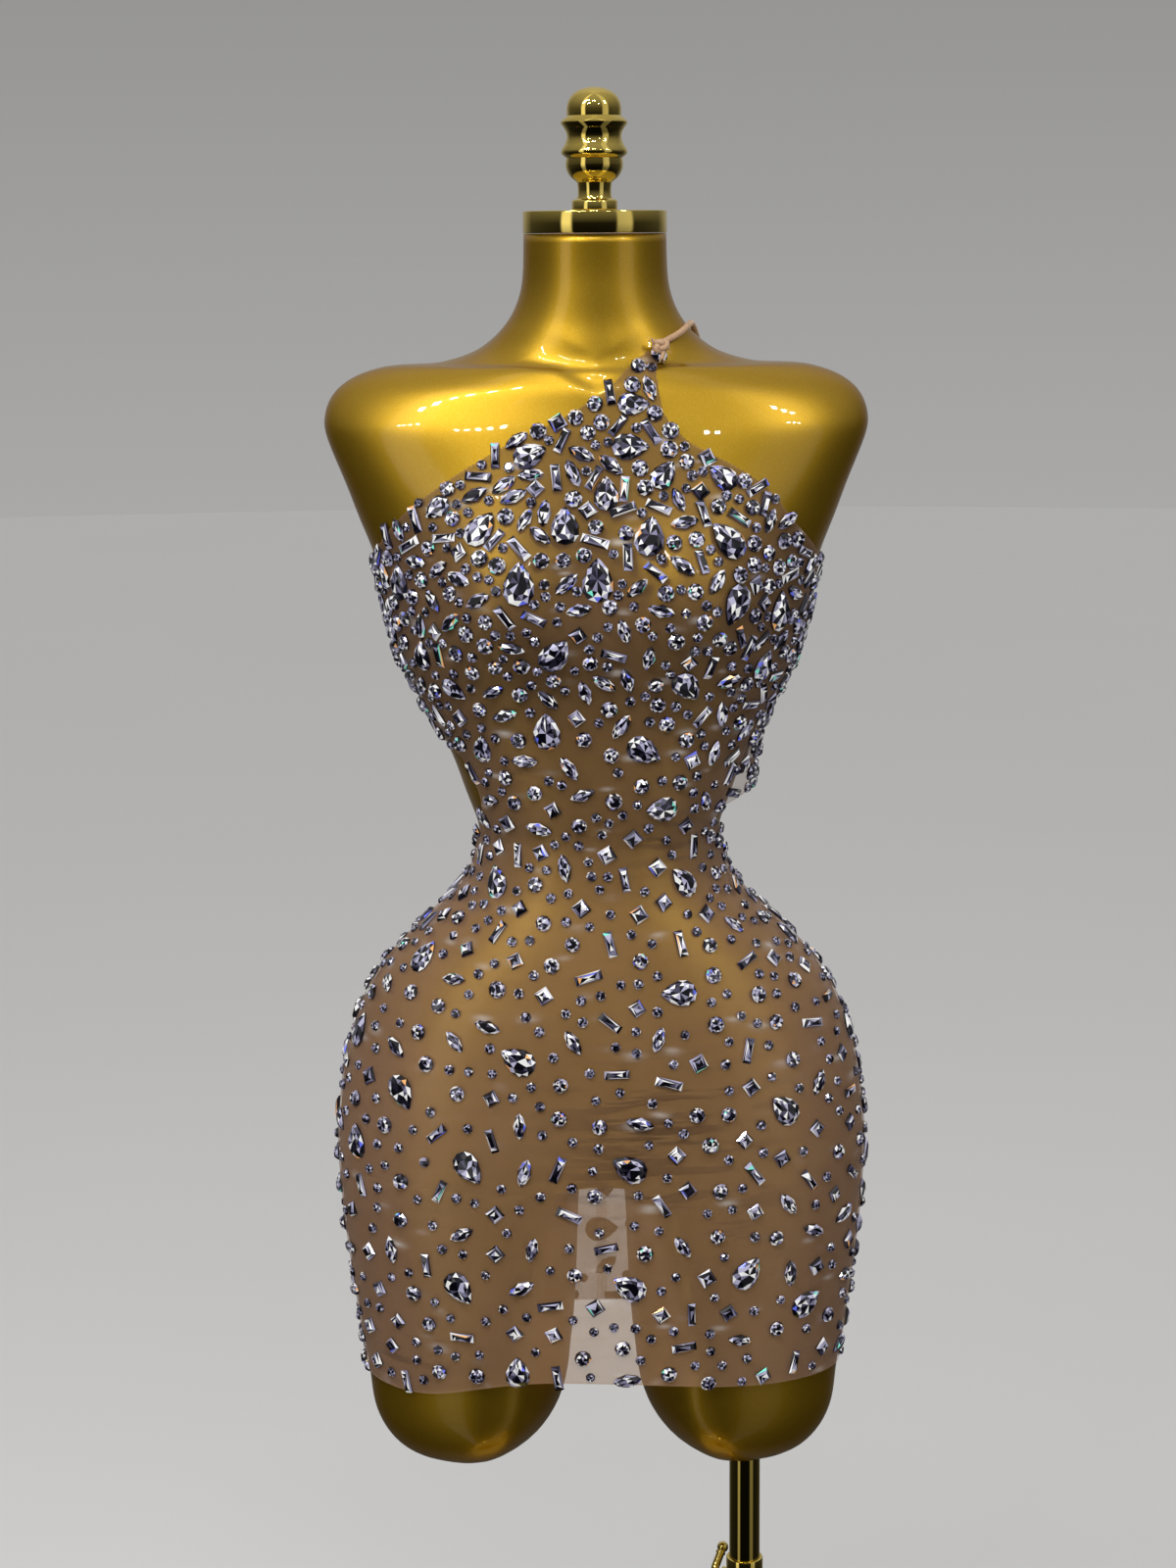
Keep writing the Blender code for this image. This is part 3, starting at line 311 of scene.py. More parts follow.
TUBE_PROFILE = (
    (11.3, 8.3), (31.6, 8.3), (32.0, 8.7), (32.0, 13.8), (31.5, 14.9), (30.5, 15.3), (16.2, 15.4),
    (14.2, 16.3), (13.0, 18.2), (12.7, 20.5), (12.7, 488.0), (13.2, 488.4), (13.2, 498.9), (12.9, 499.7),
    (12.3, 500.0), (11.3, 500.0),
)
BASE_PROFILE = (
    (189.0, 0.0), (190.0, 1.0), (190.0, 5.5), (189.3, 7.3), (187.5, 8.0), (120.0, 8.0), (40.0, 8.0),
)
POLE_ACROSS = 102.0
SMOOTH_ANGLE = 34.0
# Clamp screw
SCREW_HEIGHT = 478.0
SCREW_TURN = 140.0
SCREW_RADIUS = 3.0
SCREW_START = 11.4
LEVER_AT = 28.8
LEVER_LENGTH = 20.0
LEVER_LEAN = 36.0
BEND_RADIUS = 5.0
BEND_STEPS = 8
BALL_RADIUS = 4.1
COLLAR_FROM = 5.2
COLLAR_TO = 3.6
COLLAR_WALL = 0.6
NUT_RADIUS = 8.0
NUT_FROM = 12.4
NUT_TO = 20.0
NUT_EASE = 0.6


class Value:
    """A number that varies over a surface. Its operators add Math nodes."""

    def __init__(self, finish, socket):
        self.finish, self.socket = finish, socket

    def math(self, operation, first, second=0.0, clamp=False):
        settings = {"operation": operation, "use_clamp": clamp}
        return Value(self.finish, self.finish.add("Math", settings, {0: first, 1: second}).outputs[0])

    def __add__(self, other):
        return self.math("ADD", self, other)

    def __sub__(self, other):
        return self.math("SUBTRACT", self, other)

    def __rsub__(self, other):
        return self.math("SUBTRACT", other, self)

    def __mul__(self, other):
        return self.math("MULTIPLY", self, other)

    def __truediv__(self, other):
        return self.math("DIVIDE", self, other)

    def __pow__(self, other):
        return self.math("POWER", self, other)

    def __lt__(self, other):
        return self.math("LESS_THAN", self, other)

    __radd__ = __add__
    __rmul__ = __mul__

    def clamped(self):
        return self.math("ADD", self, 0.0, clamp=True)

    def wave(self):
        """Its sine, moved to run from 0 to 1."""
        return self.math("SINE", self) * 0.5 + 0.5


class Shading:
    """Nodes of a material or of the world. add() makes any node but the Math nodes of Value's operators."""

    def __init__(self, tree):
        self.tree = tree

    def add(self, kind, settings, sockets):
        node = self.tree.nodes.new("ShaderNode" + kind)
        for name, value in settings.items():
            if name == "stops":
                self.set_stops(node.color_ramp, value)
            elif name == "interpolation":
                node.color_ramp.interpolation = value
            else:
                setattr(node, name, value)
        for name, value in sockets.items():
            self.join(node.inputs[name], value)
        return node

    def join(self, socket, value):
        if isinstance(value, Value):
            value = value.socket
        if isinstance(value, bpy.types.NodeSocket):
            self.tree.links.new(value, socket)
        elif socket.type == "RGBA" and len(value) == 3:
            socket.default_value = (*value, 1.0)
        else:
            socket.default_value = value

    def set_stops(self, ramp, stops):
        while len(ramp.elements) < len(stops):
            ramp.elements.new(1.0)
        for element, (place, colour) in zip(ramp.elements, stops):
            element.position = place
            element.color = (*colour, 1.0)

    def mix(self, first, second, share):
        return self.add("Mix", {"data_type": "RGBA"}, {0: share, 6: first, 7: second}).outputs[2]

    def ramp(self, value, stops, interpolation="LINEAR"):
        settings = {"stops": stops, "interpolation": interpolation}
        return self.add("ValToRGB", settings, {0: value}).outputs[0]


class Finish(Shading):
    """One material. Constants go on the shader's own sockets."""

    def __init__(self, name, constants):
        self.material = bpy.data.materials.new(name)
        self.material.use_nodes = True
        super().__init__(self.material.node_tree)
        self.shader = self.tree.nodes["Principled BSDF"]
        for socket, value in constants.items():
            self.feed(socket, value)

    def feed(self, name, value):
        self.join(self.shader.inputs[name], value)

    def place(self, scale=(1.0, 1.0, 1.0)):
        """Object coordinates, in metres times a scale."""
        coords = self.add("TexCoord", {}, {}).outputs["Object"]
        return self.add("Mapping", {}, {"Vector": coords, "Scale": scale}).outputs[0]

    def noise(self, scale, detail=2.0, stretch=(1.0, 1.0, 1.0)):
        sockets = {"Vector": self.place(stretch), "Scale": scale, "Detail": detail}
        return Value(self, self.add("TexNoise", {}, sockets).outputs[0])

    def on_surface(self, name):
        """A value that the piece carries in an attribute."""
        return Value(self, self.add("Attribute", {"attribute_name": name}, {}).outputs["Fac"])

    def bump(self, height, strength, distance):
        sockets = {"Height": height, "Strength": strength, "Distance": distance}
        self.feed("Normal", self.add("Bump", {}, sockets).outputs[0])


def per(pitch):
    """Angle for each metre of a wave that repeats at a pitch in millimetres."""
    return 2 * math.pi / (pitch * MM)


def gold_paint():
    """Pearl gold: a metallic ground coat with fine flakes under a clear glossy coat."""
    constants = {"Metallic": 0.92, "Coat Roughness": 0.03, "Coat Weight": 0.6, "Specular Tint": GOLD_GLANCE}
    paint = Finish("gold_paint", constants)
    flake = paint.noise(scale=1500.0, detail=1.0)
    cloud = paint.noise(scale=7.0, detail=3.0)
    ground = paint.mix(GOLD_DEEP, GOLD_PALE, cloud)
    paint.feed("Base Color", paint.mix(ground, GOLD_FLAKE, (flake * 2.4 - 1.15).clamped() * 0.35))
    paint.feed("Roughness", 0.34 + 0.08 * cloud)
    paint.bump(paint.noise(scale=240.0), strength=0.05, distance=0.0006)
    return paint.material


def mirror_gold():
    """Plated metal, with faint smudges from handling."""
    metal = Finish("mirror_gold", {"Metallic": 1.0})
    smudge = metal.noise(scale=22.0, detail=4.0)
    streak = metal.noise(scale=60.0, detail=3.0, stretch=(1.0, 1.0, 0.12))
    metal.feed("Base Color", metal.mix(PLATED_DEEP, PLATED_PALE, smudge))
    metal.feed("Roughness", 0.035 + 0.10 * (smudge * 2.0 - 0.9).clamped() + 0.03 * streak)
    metal.bump(metal.noise(scale=420.0), strength=0.02, distance=0.0003)
    return metal.material


def net_cover(net, threads, along, up, folds, cloud, stitches):
    """How much the net hides of what lies behind it: more at threads, seams, edges, folds and spots of light."""
    near_seam = (1.0 - net.on_surface("seam") / SEAM_WIDE).clamped()
    near_edge = (1.0 - net.on_surface("edge") / EDGE_WIDE).clamped()
    cover = 0.36 + 0.30 * (threads - 0.4) + 0.16 * (cloud - 0.5) + 0.12 * net.on_surface("slack")
    cover = cover + 0.20 * near_seam + 0.20 * near_edge + 0.22 * folds + 0.25 * stitches
    cover = cover + 0.30 * net.on_surface("glow") * threads
    teeth = 0.30 + 0.55 * (along * per(TOOTH_PITCH)).wave()
    cut_away = net.on_surface("edge") < teeth
    return (cover.clamped() * (1.0 - cut_away)).clamped()


def net_colour(net, threads, along, up, folds, cloud, stitches):
    """Nude, rosier round the sides as painted sheen, with painted shade between close stones and in folds, and
    white where light falls on it.
    """
    middle = (1.0 - (along * along) / (NET_MIDDLE * MM) ** 2).clamped()
    # Painted shade of the close stones on the bodice, growing with height
    shade = ((up - SHADE_FROM * MM) * (SHADE_RISE / MM)).clamped() * SHADE_MOST
    spot = net.on_surface("glow") * (0.35 + 0.65 * threads)
    nude = net.mix(NUDE_DEEP, NUDE_PALE, cloud)
    # Painted sheen: the net is rosier towards the sides, away from the middle of the front
    nude = net.mix(nude, NUDE_SIDE_SHEEN, (1.0 - middle) * 0.7)
    nude = net.mix(nude, NUDE_SHADED, shade)
    # Painted shade in the folds
    nude = net.mix(nude, NUDE_FOLD_SHADE, folds * 0.85)
    nude = net.mix(nude, NUDE_THREAD, (stitches * 0.6).clamped())
    return net.mix(nude, SPOT_WHITE, spot.clamped())


def stretch_net():
    """Sheer net: fine diamond holes, thicker at seams and raw edges, with drawn creases darkened by painted
    shade, and light spots.
    """
    constants = {"Roughness": 0.55, "Sheen Weight": 0.35, "Sheen Roughness": 0.4, "Sheen Tint": NUDE_SHEEN}
    net = Finish("stretch_net", constants)
    weave = net.add("UVMap", {"uv_map": "weave"}, {}).outputs[0]
    along, up, _ = (Value(net, socket) for socket in net.add("SeparateXYZ", {}, {0: weave}).outputs)
    first = ((along + up * HOLE_LEAN) * per(HOLE_PITCH)).wave()
    second = ((along - up * HOLE_LEAN) * per(HOLE_PITCH)).wave()
    threads = (1.0 - (1.0 - first ** 3.0) * (1.0 - second ** 3.0)).clamped()
    lines = net.noise(scale=1.0, detail=3.0, stretch=(16.0, 16.0, 150.0))
    folds = ((lines - 0.50) * 14.0).clamped() * (0.10 + 0.90 * net.on_surface("crease"))
    cloud = net.noise(scale=11.0, detail=3.0)
    beside_seam = (1.0 - ((net.on_surface("seam") - STITCH_AT) ** 2.0) * 1.6).clamped()
    stitches = (up * per(STITCH_PITCH)).wave() * beside_seam
    parts = (threads, along, up, folds, cloud, stitches)
    net.feed("Alpha", net_cover(net, *parts))
    net.feed("Base Color", net_colour(net, *parts))
    net.bump(threads * 0.4 + folds * 1.6 + stitches * 0.5, strength=0.6, distance=0.0009)
    return net.material


def nude_cord():
    """Rolled strip of the same net: soft, with lines along it."""
    constants = {"Roughness": 0.72, "Sheen Weight": 0.5, "Sheen Roughness": 0.4, "Sheen Tint": CORD_SHEEN}
    cord = Finish("nude_cord", constants)
    fibre = cord.noise(scale=900.0, detail=3.0, stretch=(0.35, 0.35, 1.0))
    shade = cord.noise(scale=130.0)
    cord.feed("Base Color", cord.mix(CORD_DEEP, CORD_PALE, (fibre * 0.7 + shade * 0.3).clamped()))
    cord.bump(fibre, strength=0.5, distance=0.0005)
    return cord.material


def cut_crystal():
    """Foil-backed glass with painted reflections: each facet is painted its own dark, grey or white, and a few
    are painted a colour as glints. A faint emission in these colours makes them glow.
    """
    constants = {"Metallic": 0.3, "Roughness": 0.08, "Coat Roughness": 0.02, "Coat Weight": 1.0}
    # Painted glow: a faint emission in the facets' painted colours
    glass = Finish("cut_crystal", constants | {"Emission Strength": 0.10})
    colour = glass.ramp(glass.on_surface("facet"), FACET_REFLECTIONS, "CONSTANT")
    glass.feed("Base Color", colour)
    glass.feed("Emission Color", colour)
    return glass.material


def pale_floor():
    """Plain pale floor of the studio."""
    floor = Finish("studio_floor", {"Roughness": 0.7})
    shades = [(share * FLOOR_TONE,) * 3 for share in (1.0, 0.97)]
    floor.feed("Base Color", floor.mix(*shades, floor.noise(scale=0.8)))
    return floor.material


def deselect():
    bpy.ops.object.select_all(action="DESELECT")
    bpy.context.view_layer.objects.active = None


def pick(obj):
    deselect()
    obj.select_set(True)
    bpy.context.view_layer.objects.active = obj


def edit(obj):
    pick(obj)
    bpy.ops.object.mode_set(mode="EDIT")


def open_mesh(obj):
    """Edit mode with all of the piece selected."""
    edit(obj)
    bpy.ops.mesh.select_all(action="SELECT")


def face_outwards():
    bpy.ops.mesh.select_all(action="SELECT")
    bpy.ops.mesh.normals_make_consistent(inside=False)


def close_mesh():
    bpy.ops.object.mode_set(mode="OBJECT")


def apply_modifier(obj, kind, **settings):
    modifier = obj.modifiers.new(kind.lower(), kind)
    for name, value in settings.items():
        setattr(modifier, name, value)
    pick(obj)
    bpy.ops.object.modifier_apply(modifier=modifier.name)


def linked(name, mesh):
    obj = bpy.data.objects.new(name, mesh)
    bpy.context.scene.collection.objects.link(obj)
    return obj


def settle(obj, material, body, nodes=()):
    """Gives a finished piece its material and its body, and hides the CAD nodes that it stands for."""
    obj.data.materials.clear()
    obj.data.materials.append(material)
    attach(obj, body)
    if nodes:
        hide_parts(*nodes)


def copy_of(node, name):
    """A copy of a CAD node as a piece of its own, with its loose triangles merged."""
    obj = linked(name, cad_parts[node].data.copy())
    obj.data.materials.clear()
    open_mesh(obj)
    bpy.ops.mesh.remove_doubles(threshold=WELD)
    close_mesh()
    bpy.ops.mesh.customdata_custom_splitnormals_clear()
    return obj


def round_off(obj, levels):
    apply_modifier(obj, "SUBSURF", levels=levels, render_levels=levels, boundary_smooth="PRESERVE_CORNERS")


def refine(obj, levels):
    """Pairs the triangles to quads and rounds them. The round surface still goes through the CAD's points."""
    open_mesh(obj)
    angle = math.radians(PAIR_ANGLE)
    bpy.ops.mesh.tris_convert_to_quads(face_threshold=angle, shape_threshold=angle)
    close_mesh()
    wanted = points_of(obj.data)
    cage = wanted.copy()
    for _ in range(FIT_ROUNDS):
        trial = linked("trial", obj.data.copy())
        round_off(trial, 1)
        cage += FIT_SHARE * (wanted - points_of(trial.data)[: len(cage)])
        move_points(obj.data, cage)
        bpy.data.objects.remove(trial)
    round_off(obj, levels)
    bpy.ops.object.shade_smooth()


def points_of(mesh):
    flat = np.empty(3 * len(mesh.vertices), np.float32)
    mesh.vertices.foreach_get("co", flat)
    return flat.reshape(-1, 3).astype(float)


def move_points(mesh, points):
    mesh.vertices.foreach_set("co", points.astype(np.float32).ravel())
    mesh.update()


def tree_of(obj):
    mesh = obj.data
    return BVHTree.FromPolygons([v.co for v in mesh.vertices], [p.vertices for p in mesh.polygons])


def collarbones(points):
    """How far the form's front rises or sinks at its collarbones, in millimetres."""
    across, height = np.abs(points[:, 0]) / MM, points[:, 2] / MM
    line = np.interp(across, RIDGE_ACROSS, RIDGE_HEIGHTS)
    above = height - line
    rise = np.interp(across, RIDGE_ACROSS, RIDGE_RISES)
    ridge = rise * np.exp(-((above / np.where(above > 0, RIDGE_ABOVE, RIDGE_BELOW)) ** 2))
    hollow = HOLLOW_DEPTH * np.sin(np.clip(above / HOLLOW_END, 0, 1) * math.pi)
    ends = np.clip((RIDGE_ENDS - across) / RIDGE_FADE, 0, 1)
    return (ridge - hollow) * ends * (points[:, 1] < 0)


def keep_rim_sharp(obj):
    """Keeps the edge under the neck ring and the rim of the pole's socket from being rounded away."""
    open_mesh(obj)
    bpy.ops.mesh.select_all(action="DESELECT")
    bpy.ops.mesh.select_mode(type="EDGE")
    bpy.ops.mesh.edges_select_sharp(sharpness=math.radians(RIM_SHARPNESS))
    close_mesh()
    points = points_of(obj.data)
    neck = points[:, 2] > NECK_RIM_FROM * MM
    pole = np.hypot(points[:, 0] - POLE_ACROSS * MM, points[:, 1]) < SOCKET_REACH * MM
    crease = obj.data.attributes.new("crease_edge", "FLOAT", "EDGE")
    for edge in obj.data.edges:
        rim = all(neck[v] or pole[v] for v in edge.vertices)
        crease.data[edge.index].value = float(edge.select and rim)
    bpy.context.tool_settings.mesh_select_mode = (False, False, True)


def smooth_groin(form):
    """Eases the step in front, where the body's rings meet the thighs'."""
    open_mesh(form)
    bpy.ops.mesh.select_all(action="DESELECT")
    close_mesh()
    for polygon in form.data.polygons:
        x, y, z = polygon.center / MM
        inner = GROIN_FROM < abs(x) < GROIN_TO and GROIN_LOW < z < GROIN_HIGH
        polygon.select = inner and y < GROIN_FRONT
    edit(form)
    bpy.ops.mesh.vertices_smooth(factor=0.5, repeat=GROIN_ROUNDS)
    close_mesh()


def make_form(material):
    """The form, rounded from the CAD's sections, with its collarbones."""
    form = copy_of("form", "form_skin")
    keep_rim_sharp(form)
    refine(form, FORM_LEVELS)
    smooth_groin(form)
    points = points_of(form.data)
    outward = np.array([v.normal[:] for v in form.data.vertices])
    move_points(form.data, points + outward * collarbones(points)[:, None] * MM)
    settle(form, material, "figure", ["form"])
    return form


def edge_points(obj):
    """Points of the sheet's open edges: those on a seam, and those on a raw edge."""
    mesh = obj.data
    index = np.empty(len(mesh.loops), np.int32)
    mesh.loops.foreach_get("edge_index", index)
    uses = np.bincount(index, minlength=len(mesh.edges))
    seam, raw = [], []
    for edge in np.flatnonzero(uses == 1):
        start, end = (mesh.vertices[v].co for v in mesh.edges[edge].vertices)
        middle = (start + end) / 2
        side = abs(middle.y) < SEAM_REACH * MM and abs(middle.x) > SIDE_SEAM_FROM * MM
        back = abs(middle.x) < SEAM_REACH * MM and middle.y > 0 and middle.z > BACK_SEAM_FROM * MM
        on_seam = side or back
        (seam if on_seam else raw).extend((start.copy(), middle, end.copy()))
    return seam, raw


def distances(points, targets):
    """Millimetres from each point to the nearest target."""
    tree = KDTree(len(targets))
    for i, target in enumerate(targets):
        tree.insert(target, i)
    tree.balance()
    return np.array([tree.find(p)[2] for p in points]) / MM


def carry(mesh, name, values, domain="POINT"):
    """Stores a value for each point or face."""
    layer = mesh.attributes.get(name) or mesh.attributes.new(name, "FLOAT", domain)
    layer.data.foreach_set("value", np.asarray(values, np.float32))


def lay_weave(mesh, points, front):
    """UV map of the weave, round the body and up it."""
    turn = np.arctan2(points[:, 0], -points[:, 1] if front else points[:, 1])
    places = np.stack([turn * WEAVE_RADIUS * MM, points[:, 2]], axis=1)
    index = np.empty(len(mesh.loops), np.int32)
    mesh.loops.foreach_get("vertex_index", index)
    while mesh.uv_layers:
        mesh.uv_layers.remove(mesh.uv_layers[0])
    mesh.uv_layers.new(name="weave").data.foreach_set("uv", places[index].astype(np.float32).ravel())


def keep_inner_side(obj, form_tree):
    """Leaves the plain inner side of a cloth wall, turned to face outwards."""
    for polygon in obj.data.polygons:
        _, facing, _, _ = form_tree.find_nearest(polygon.center)
        if polygon.center.z < THIGHS_BELOW * MM:
            facing = Vector((polygon.center.x, polygon.center.y, 0)).normalized()
        polygon.select = polygon.normal.dot(facing) > FACING_FORM
    edit(obj)
    bpy.ops.mesh.delete(type="FACE")
    bpy.ops.mesh.select_all(action="SELECT")
    bpy.ops.mesh.flip_normals()
    close_mesh()


def keep_off_form(obj, form_tree):
    """Moves a sheet's points clear of the form. Gives the points, and how far off the form each one lay."""
    points = points_of(obj.data)
    off = np.zeros(len(points))
    for i, point in enumerate(points):
        near, facing, _, _ = form_tree.find_nearest(point)
        away = (Vector(point) - near).dot(facing)
        off[i] = away / MM
        if away < LEAST_OFF * MM:
            points[i] = point + np.array(facing) * (LEAST_OFF * MM - away)
    move_points(obj.data, points)
    return points, off


def crease_shares(points):
    """How strongly the front's net is creased at each point."""
    creases = np.zeros(len(points))
    for place in CREASES:
        across = points[:, 0] / MM - place.across
        up = points[:, 2] / MM - place.height
        creases += place.strength * np.exp(-((across / place.wide) ** 2) - (up / place.tall) ** 2)
    return np.clip(creases, 0, 1)


def make_sheet(sheet, material, form_tree):
    """A cloth sheet from the plain inner side of its CAD wall."""
    obj = copy_of(sheet.node, sheet.name)
    keep_inner_side(obj, form_tree)
    refine(obj, sheet.levels)
    points, off = keep_off_form(obj, form_tree)
    seam, raw = edge_points(obj)
    to_seam = distances(points, seam)
    if sheet.node == "skirt_back":
        # A seam also runs down the middle of the skirt's back
        to_seam = np.minimum(to_seam, np.abs(points[:, 0]) / MM)
    carry(obj.data, "seam", to_seam)
    carry(obj.data, "edge", distances(points, raw))
    carry(obj.data, "crease", crease_shares(points) if sheet.front else np.zeros(len(points)))
    carry(obj.data, "slack", np.clip((off - SLACK_FROM) / SLACK_FROM, 0, 1))
    lay_weave(obj.data, points, sheet.front)
    settle(obj, material, "figure", [sheet.node])
    return obj


def outline(kind, turn):
    """Place on a stone's outline, as shares of its width and length. Turn 0 is its tip."""
    sine, cosine = np.sin(turn), np.cos(turn)
    if kind == "pear":
        return PEAR_FULLNESS * sine * np.abs(np.sin(turn / 2)) ** PEAR_TAPER, 0.5 * cosine
    if kind == "lens":
        return 0.5 * sine * np.abs(sine) ** LENS_TAPER, 0.5 * cosine
    if kind == "box":
        corner = turn + math.pi / 4
        reach = math.sqrt(2)
        return 0.5 * np.clip(reach * np.sin(corner), -1, 1), 0.5 * np.clip(reach * np.cos(corner), -1, 1)
    return 0.5 * sine, 0.5 * cosine


def in_order(points, faces):
    """Points and faces sorted by place, because the operators may number them differently in each run."""
    order = sorted(range(len(points)), key=lambda i: tuple(np.round(points[i], 4)[::-1]))
    rank = {old: new for new, old in enumerate(order)}
    faces = [tuple(rank[v] for v in face) for face in faces]
    faces = [face[face.index(min(face)) :] + face[: face.index(min(face))] for face in faces]
    return points[order], sorted(faces)


def cut_stone(cut):
    """One faceted stone in millimetres, flat back at 0, its length along +Y, as points and facets."""
    deselect()
    bpy.ops.mesh.primitive_circle_add(vertices=cut.sides, radius=1.0, fill_type="NGON")
    stone = bpy.context.object
    open_mesh(stone)
    share = 1.0
    for ring in BOX_RINGS if cut.outline == "box" else RINGS:
        bpy.ops.mesh.extrude_region_move(TRANSFORM_OT_translate={"value": (0, 0, ring.rise)})
        step = ring.share / share
        share = ring.share
        bpy.ops.transform.resize(value=(step, step, 1), center_override=(0, 0, 0))
        if ring.turned:
            bpy.ops.transform.rotate(value=math.pi / cut.sides, orient_axis="Z", center_override=(0, 0, 0))
    bpy.ops.mesh.poke()
    face_outwards()
    bpy.ops.mesh.quads_convert_to_tris(quad_method="SHORTEST_DIAGONAL")
    close_mesh()
    points, faces = in_order(points_of(stone.data), [tuple(p.vertices) for p in stone.data.polygons])
    bpy.data.objects.remove(stone)
    across, along = outline(cut.outline, np.arctan2(points[:, 0], points[:, 1]))
    reach = np.hypot(points[:, 0], points[:, 1])
    points = np.stack([cut.width * across * reach, cut.length * along * reach, cut.height * points[:, 2]], axis=1)
    return points, faces


Stone = namedtuple("Stone", "kind centre normal axis size")


def raised_pears(node, sheet_tree):
    """The large crystals that the CAD raises in a cloth wall, read from their flat tables."""
    mesh = copy_of(node, "tables")
    points = points_of(mesh.data)
    raised = np.zeros(len(points), bool)
    for i, point in enumerate(points):
        near, facing, _, _ = sheet_tree.find_nearest(point)
        raised[i] = (Vector(point) - near).dot(facing) > TABLE_OFF * MM
    group = list(range(len(points)))

    def root(i):
        while group[i] != i:
            i = group[i]
        return i

    for edge in mesh.data.edges:
        a, b = edge.vertices
        if raised[a] and raised[b]:
            group[root(a)] = root(b)
    tables = {}
    for i in np.flatnonzero(raised):
        tables.setdefault(root(i), []).append(points[i])
    bpy.data.objects.remove(mesh)
    stones = []
    for table in tables.values():
        table = np.array(table)
        if len(table) < TABLE_LEAST:
            continue
        apart = np.linalg.norm(table[:, None] - table[None], axis=2)
        a, b = np.unravel_index(apart.argmax(), apart.shape)
        axis = table[b] - table[a]
        axis /= np.linalg.norm(axis)
        middle = (table[a] + table[b]) / 2
        along = (table - middle) @ axis
        width = np.linalg.norm((table - middle) - along[:, None] * axis, axis=1)
        fuller = (along * width).sum()
        axis = -axis if fuller > 0 else axis
        centre, normal, _, _ = sheet_tree.find_nearest(middle)
        stones.append(Stone("pear", np.array(centre), np.array(normal), axis, apart.max() / MM / TABLE_SPAN))
    return stones


class Layout:
    """Circles of the stones set so far. A new stone keeps its distance from all of them."""

    def __init__(self):
        self.centres, self.radii, self.count = np.zeros((9000, 3)), np.zeros(9000), 0

    def circles(self, kind, centre, axis, size):
        cut = CUTS[kind]
        offsets = (-cut.ends, 0.0, cut.ends) if cut.ends else (0.0,)
        return np.array([centre + axis * (o * size * MM) for o in offsets]), cut.circle * size

    def fits(self, centres, radius, gap):
        if not self.count:
            return True
        apart = np.linalg.norm(self.centres[None, : self.count] - centres[:, None], axis=2) / MM
        return (apart - self.radii[None, : self.count]).min() >= radius + gap

    def add(self, centres, radius):
        self.centres[self.count : self.count + len(centres)] = centres
        self.radii[self.count : self.count + len(centres)] = radius
        self.count += len(centres)


class Cloth:
    """The sheets' small faces, from which places for stones are drawn evenly by area."""

    def __init__(self, sheets):
        corners, edges, normals = [], [], []
        for sheet in sheets:
            mesh = sheet.data
            points = points_of(mesh)
            near = np.array([item.value for item in mesh.attributes["edge"].data])
            seam = np.array([item.value for item in mesh.attributes["seam"].data])
            if sheet.name == "skirt_back_net":
                seam = np.full(len(points), NO_SEAM)
            faces = np.array([p.vertices for p in mesh.polygons if len(p.vertices) == 4])
            corners.append(points[faces])
            edges.append(np.minimum(near, seam + SEAM_EASE)[faces].min(axis=1))
            normals.append(np.array([p.normal[:] for p in mesh.polygons if len(p.vertices) == 4]))
        self.corners, self.edges = np.concatenate(corners), np.concatenate(edges)
        self.normals = np.concatenate(normals)
        first = self.corners[:, 1] - self.corners[:, 0]
        second = self.corners[:, 3] - self.corners[:, 0]
        area = np.linalg.norm(np.cross(first, second), axis=1)
        height = self.corners[:, 0, 2] / MM
        area = area * np.interp(height, (DENSE_FROM, DENSE_FROM + DENSE_OVER), (1.0, DENSE_TRIES))
        self.steps = np.cumsum(area) / area.sum()

    def draw(self, chance):
        i = min(int(np.searchsorted(self.steps, chance.random())), len(self.steps) - 1)
        u, v = chance.random(2)
        a, b, c, d = self.corners[i]
        return (a * (1 - u) + b * u) * (1 - v) + (d * (1 - u) + c * u) * v, self.normals[i], self.edges[i]


def bare_gap(gaps, point):
    """Bare cloth between stones at a place: less towards the neckline and on the bodice's sides."""
    x, z = point[0] / MM, point[2] / MM
    gap = float(np.interp(z, GAP_HEIGHTS, gaps))
    if z > BODICE_FROM:
        side = LEFT_SIDE if x > 0 else RIGHT_SIDE
        gap *= 1 - (1 - SIDE_CLOSER) * np.clip((abs(x) - side.start) / side.fade, 0, 1)
    return gap


def tangent(normal, turn):
    """A direction along the cloth, turned from straight up."""
    up = np.array((0.0, 0.0, 1.0)) - normal * normal[2]
    up /= np.linalg.norm(up)
    return up * math.cos(turn) + np.cross(up, normal) * math.sin(turn)


def draw_kind(share, bodice):
    """The kind of a larger stone, from a number drawn between 0 and 1."""
    for row in STONE_MIX:
        share -= row.bodice if bodice else row.skirt
        if share < 0:
            break
    return row.kind


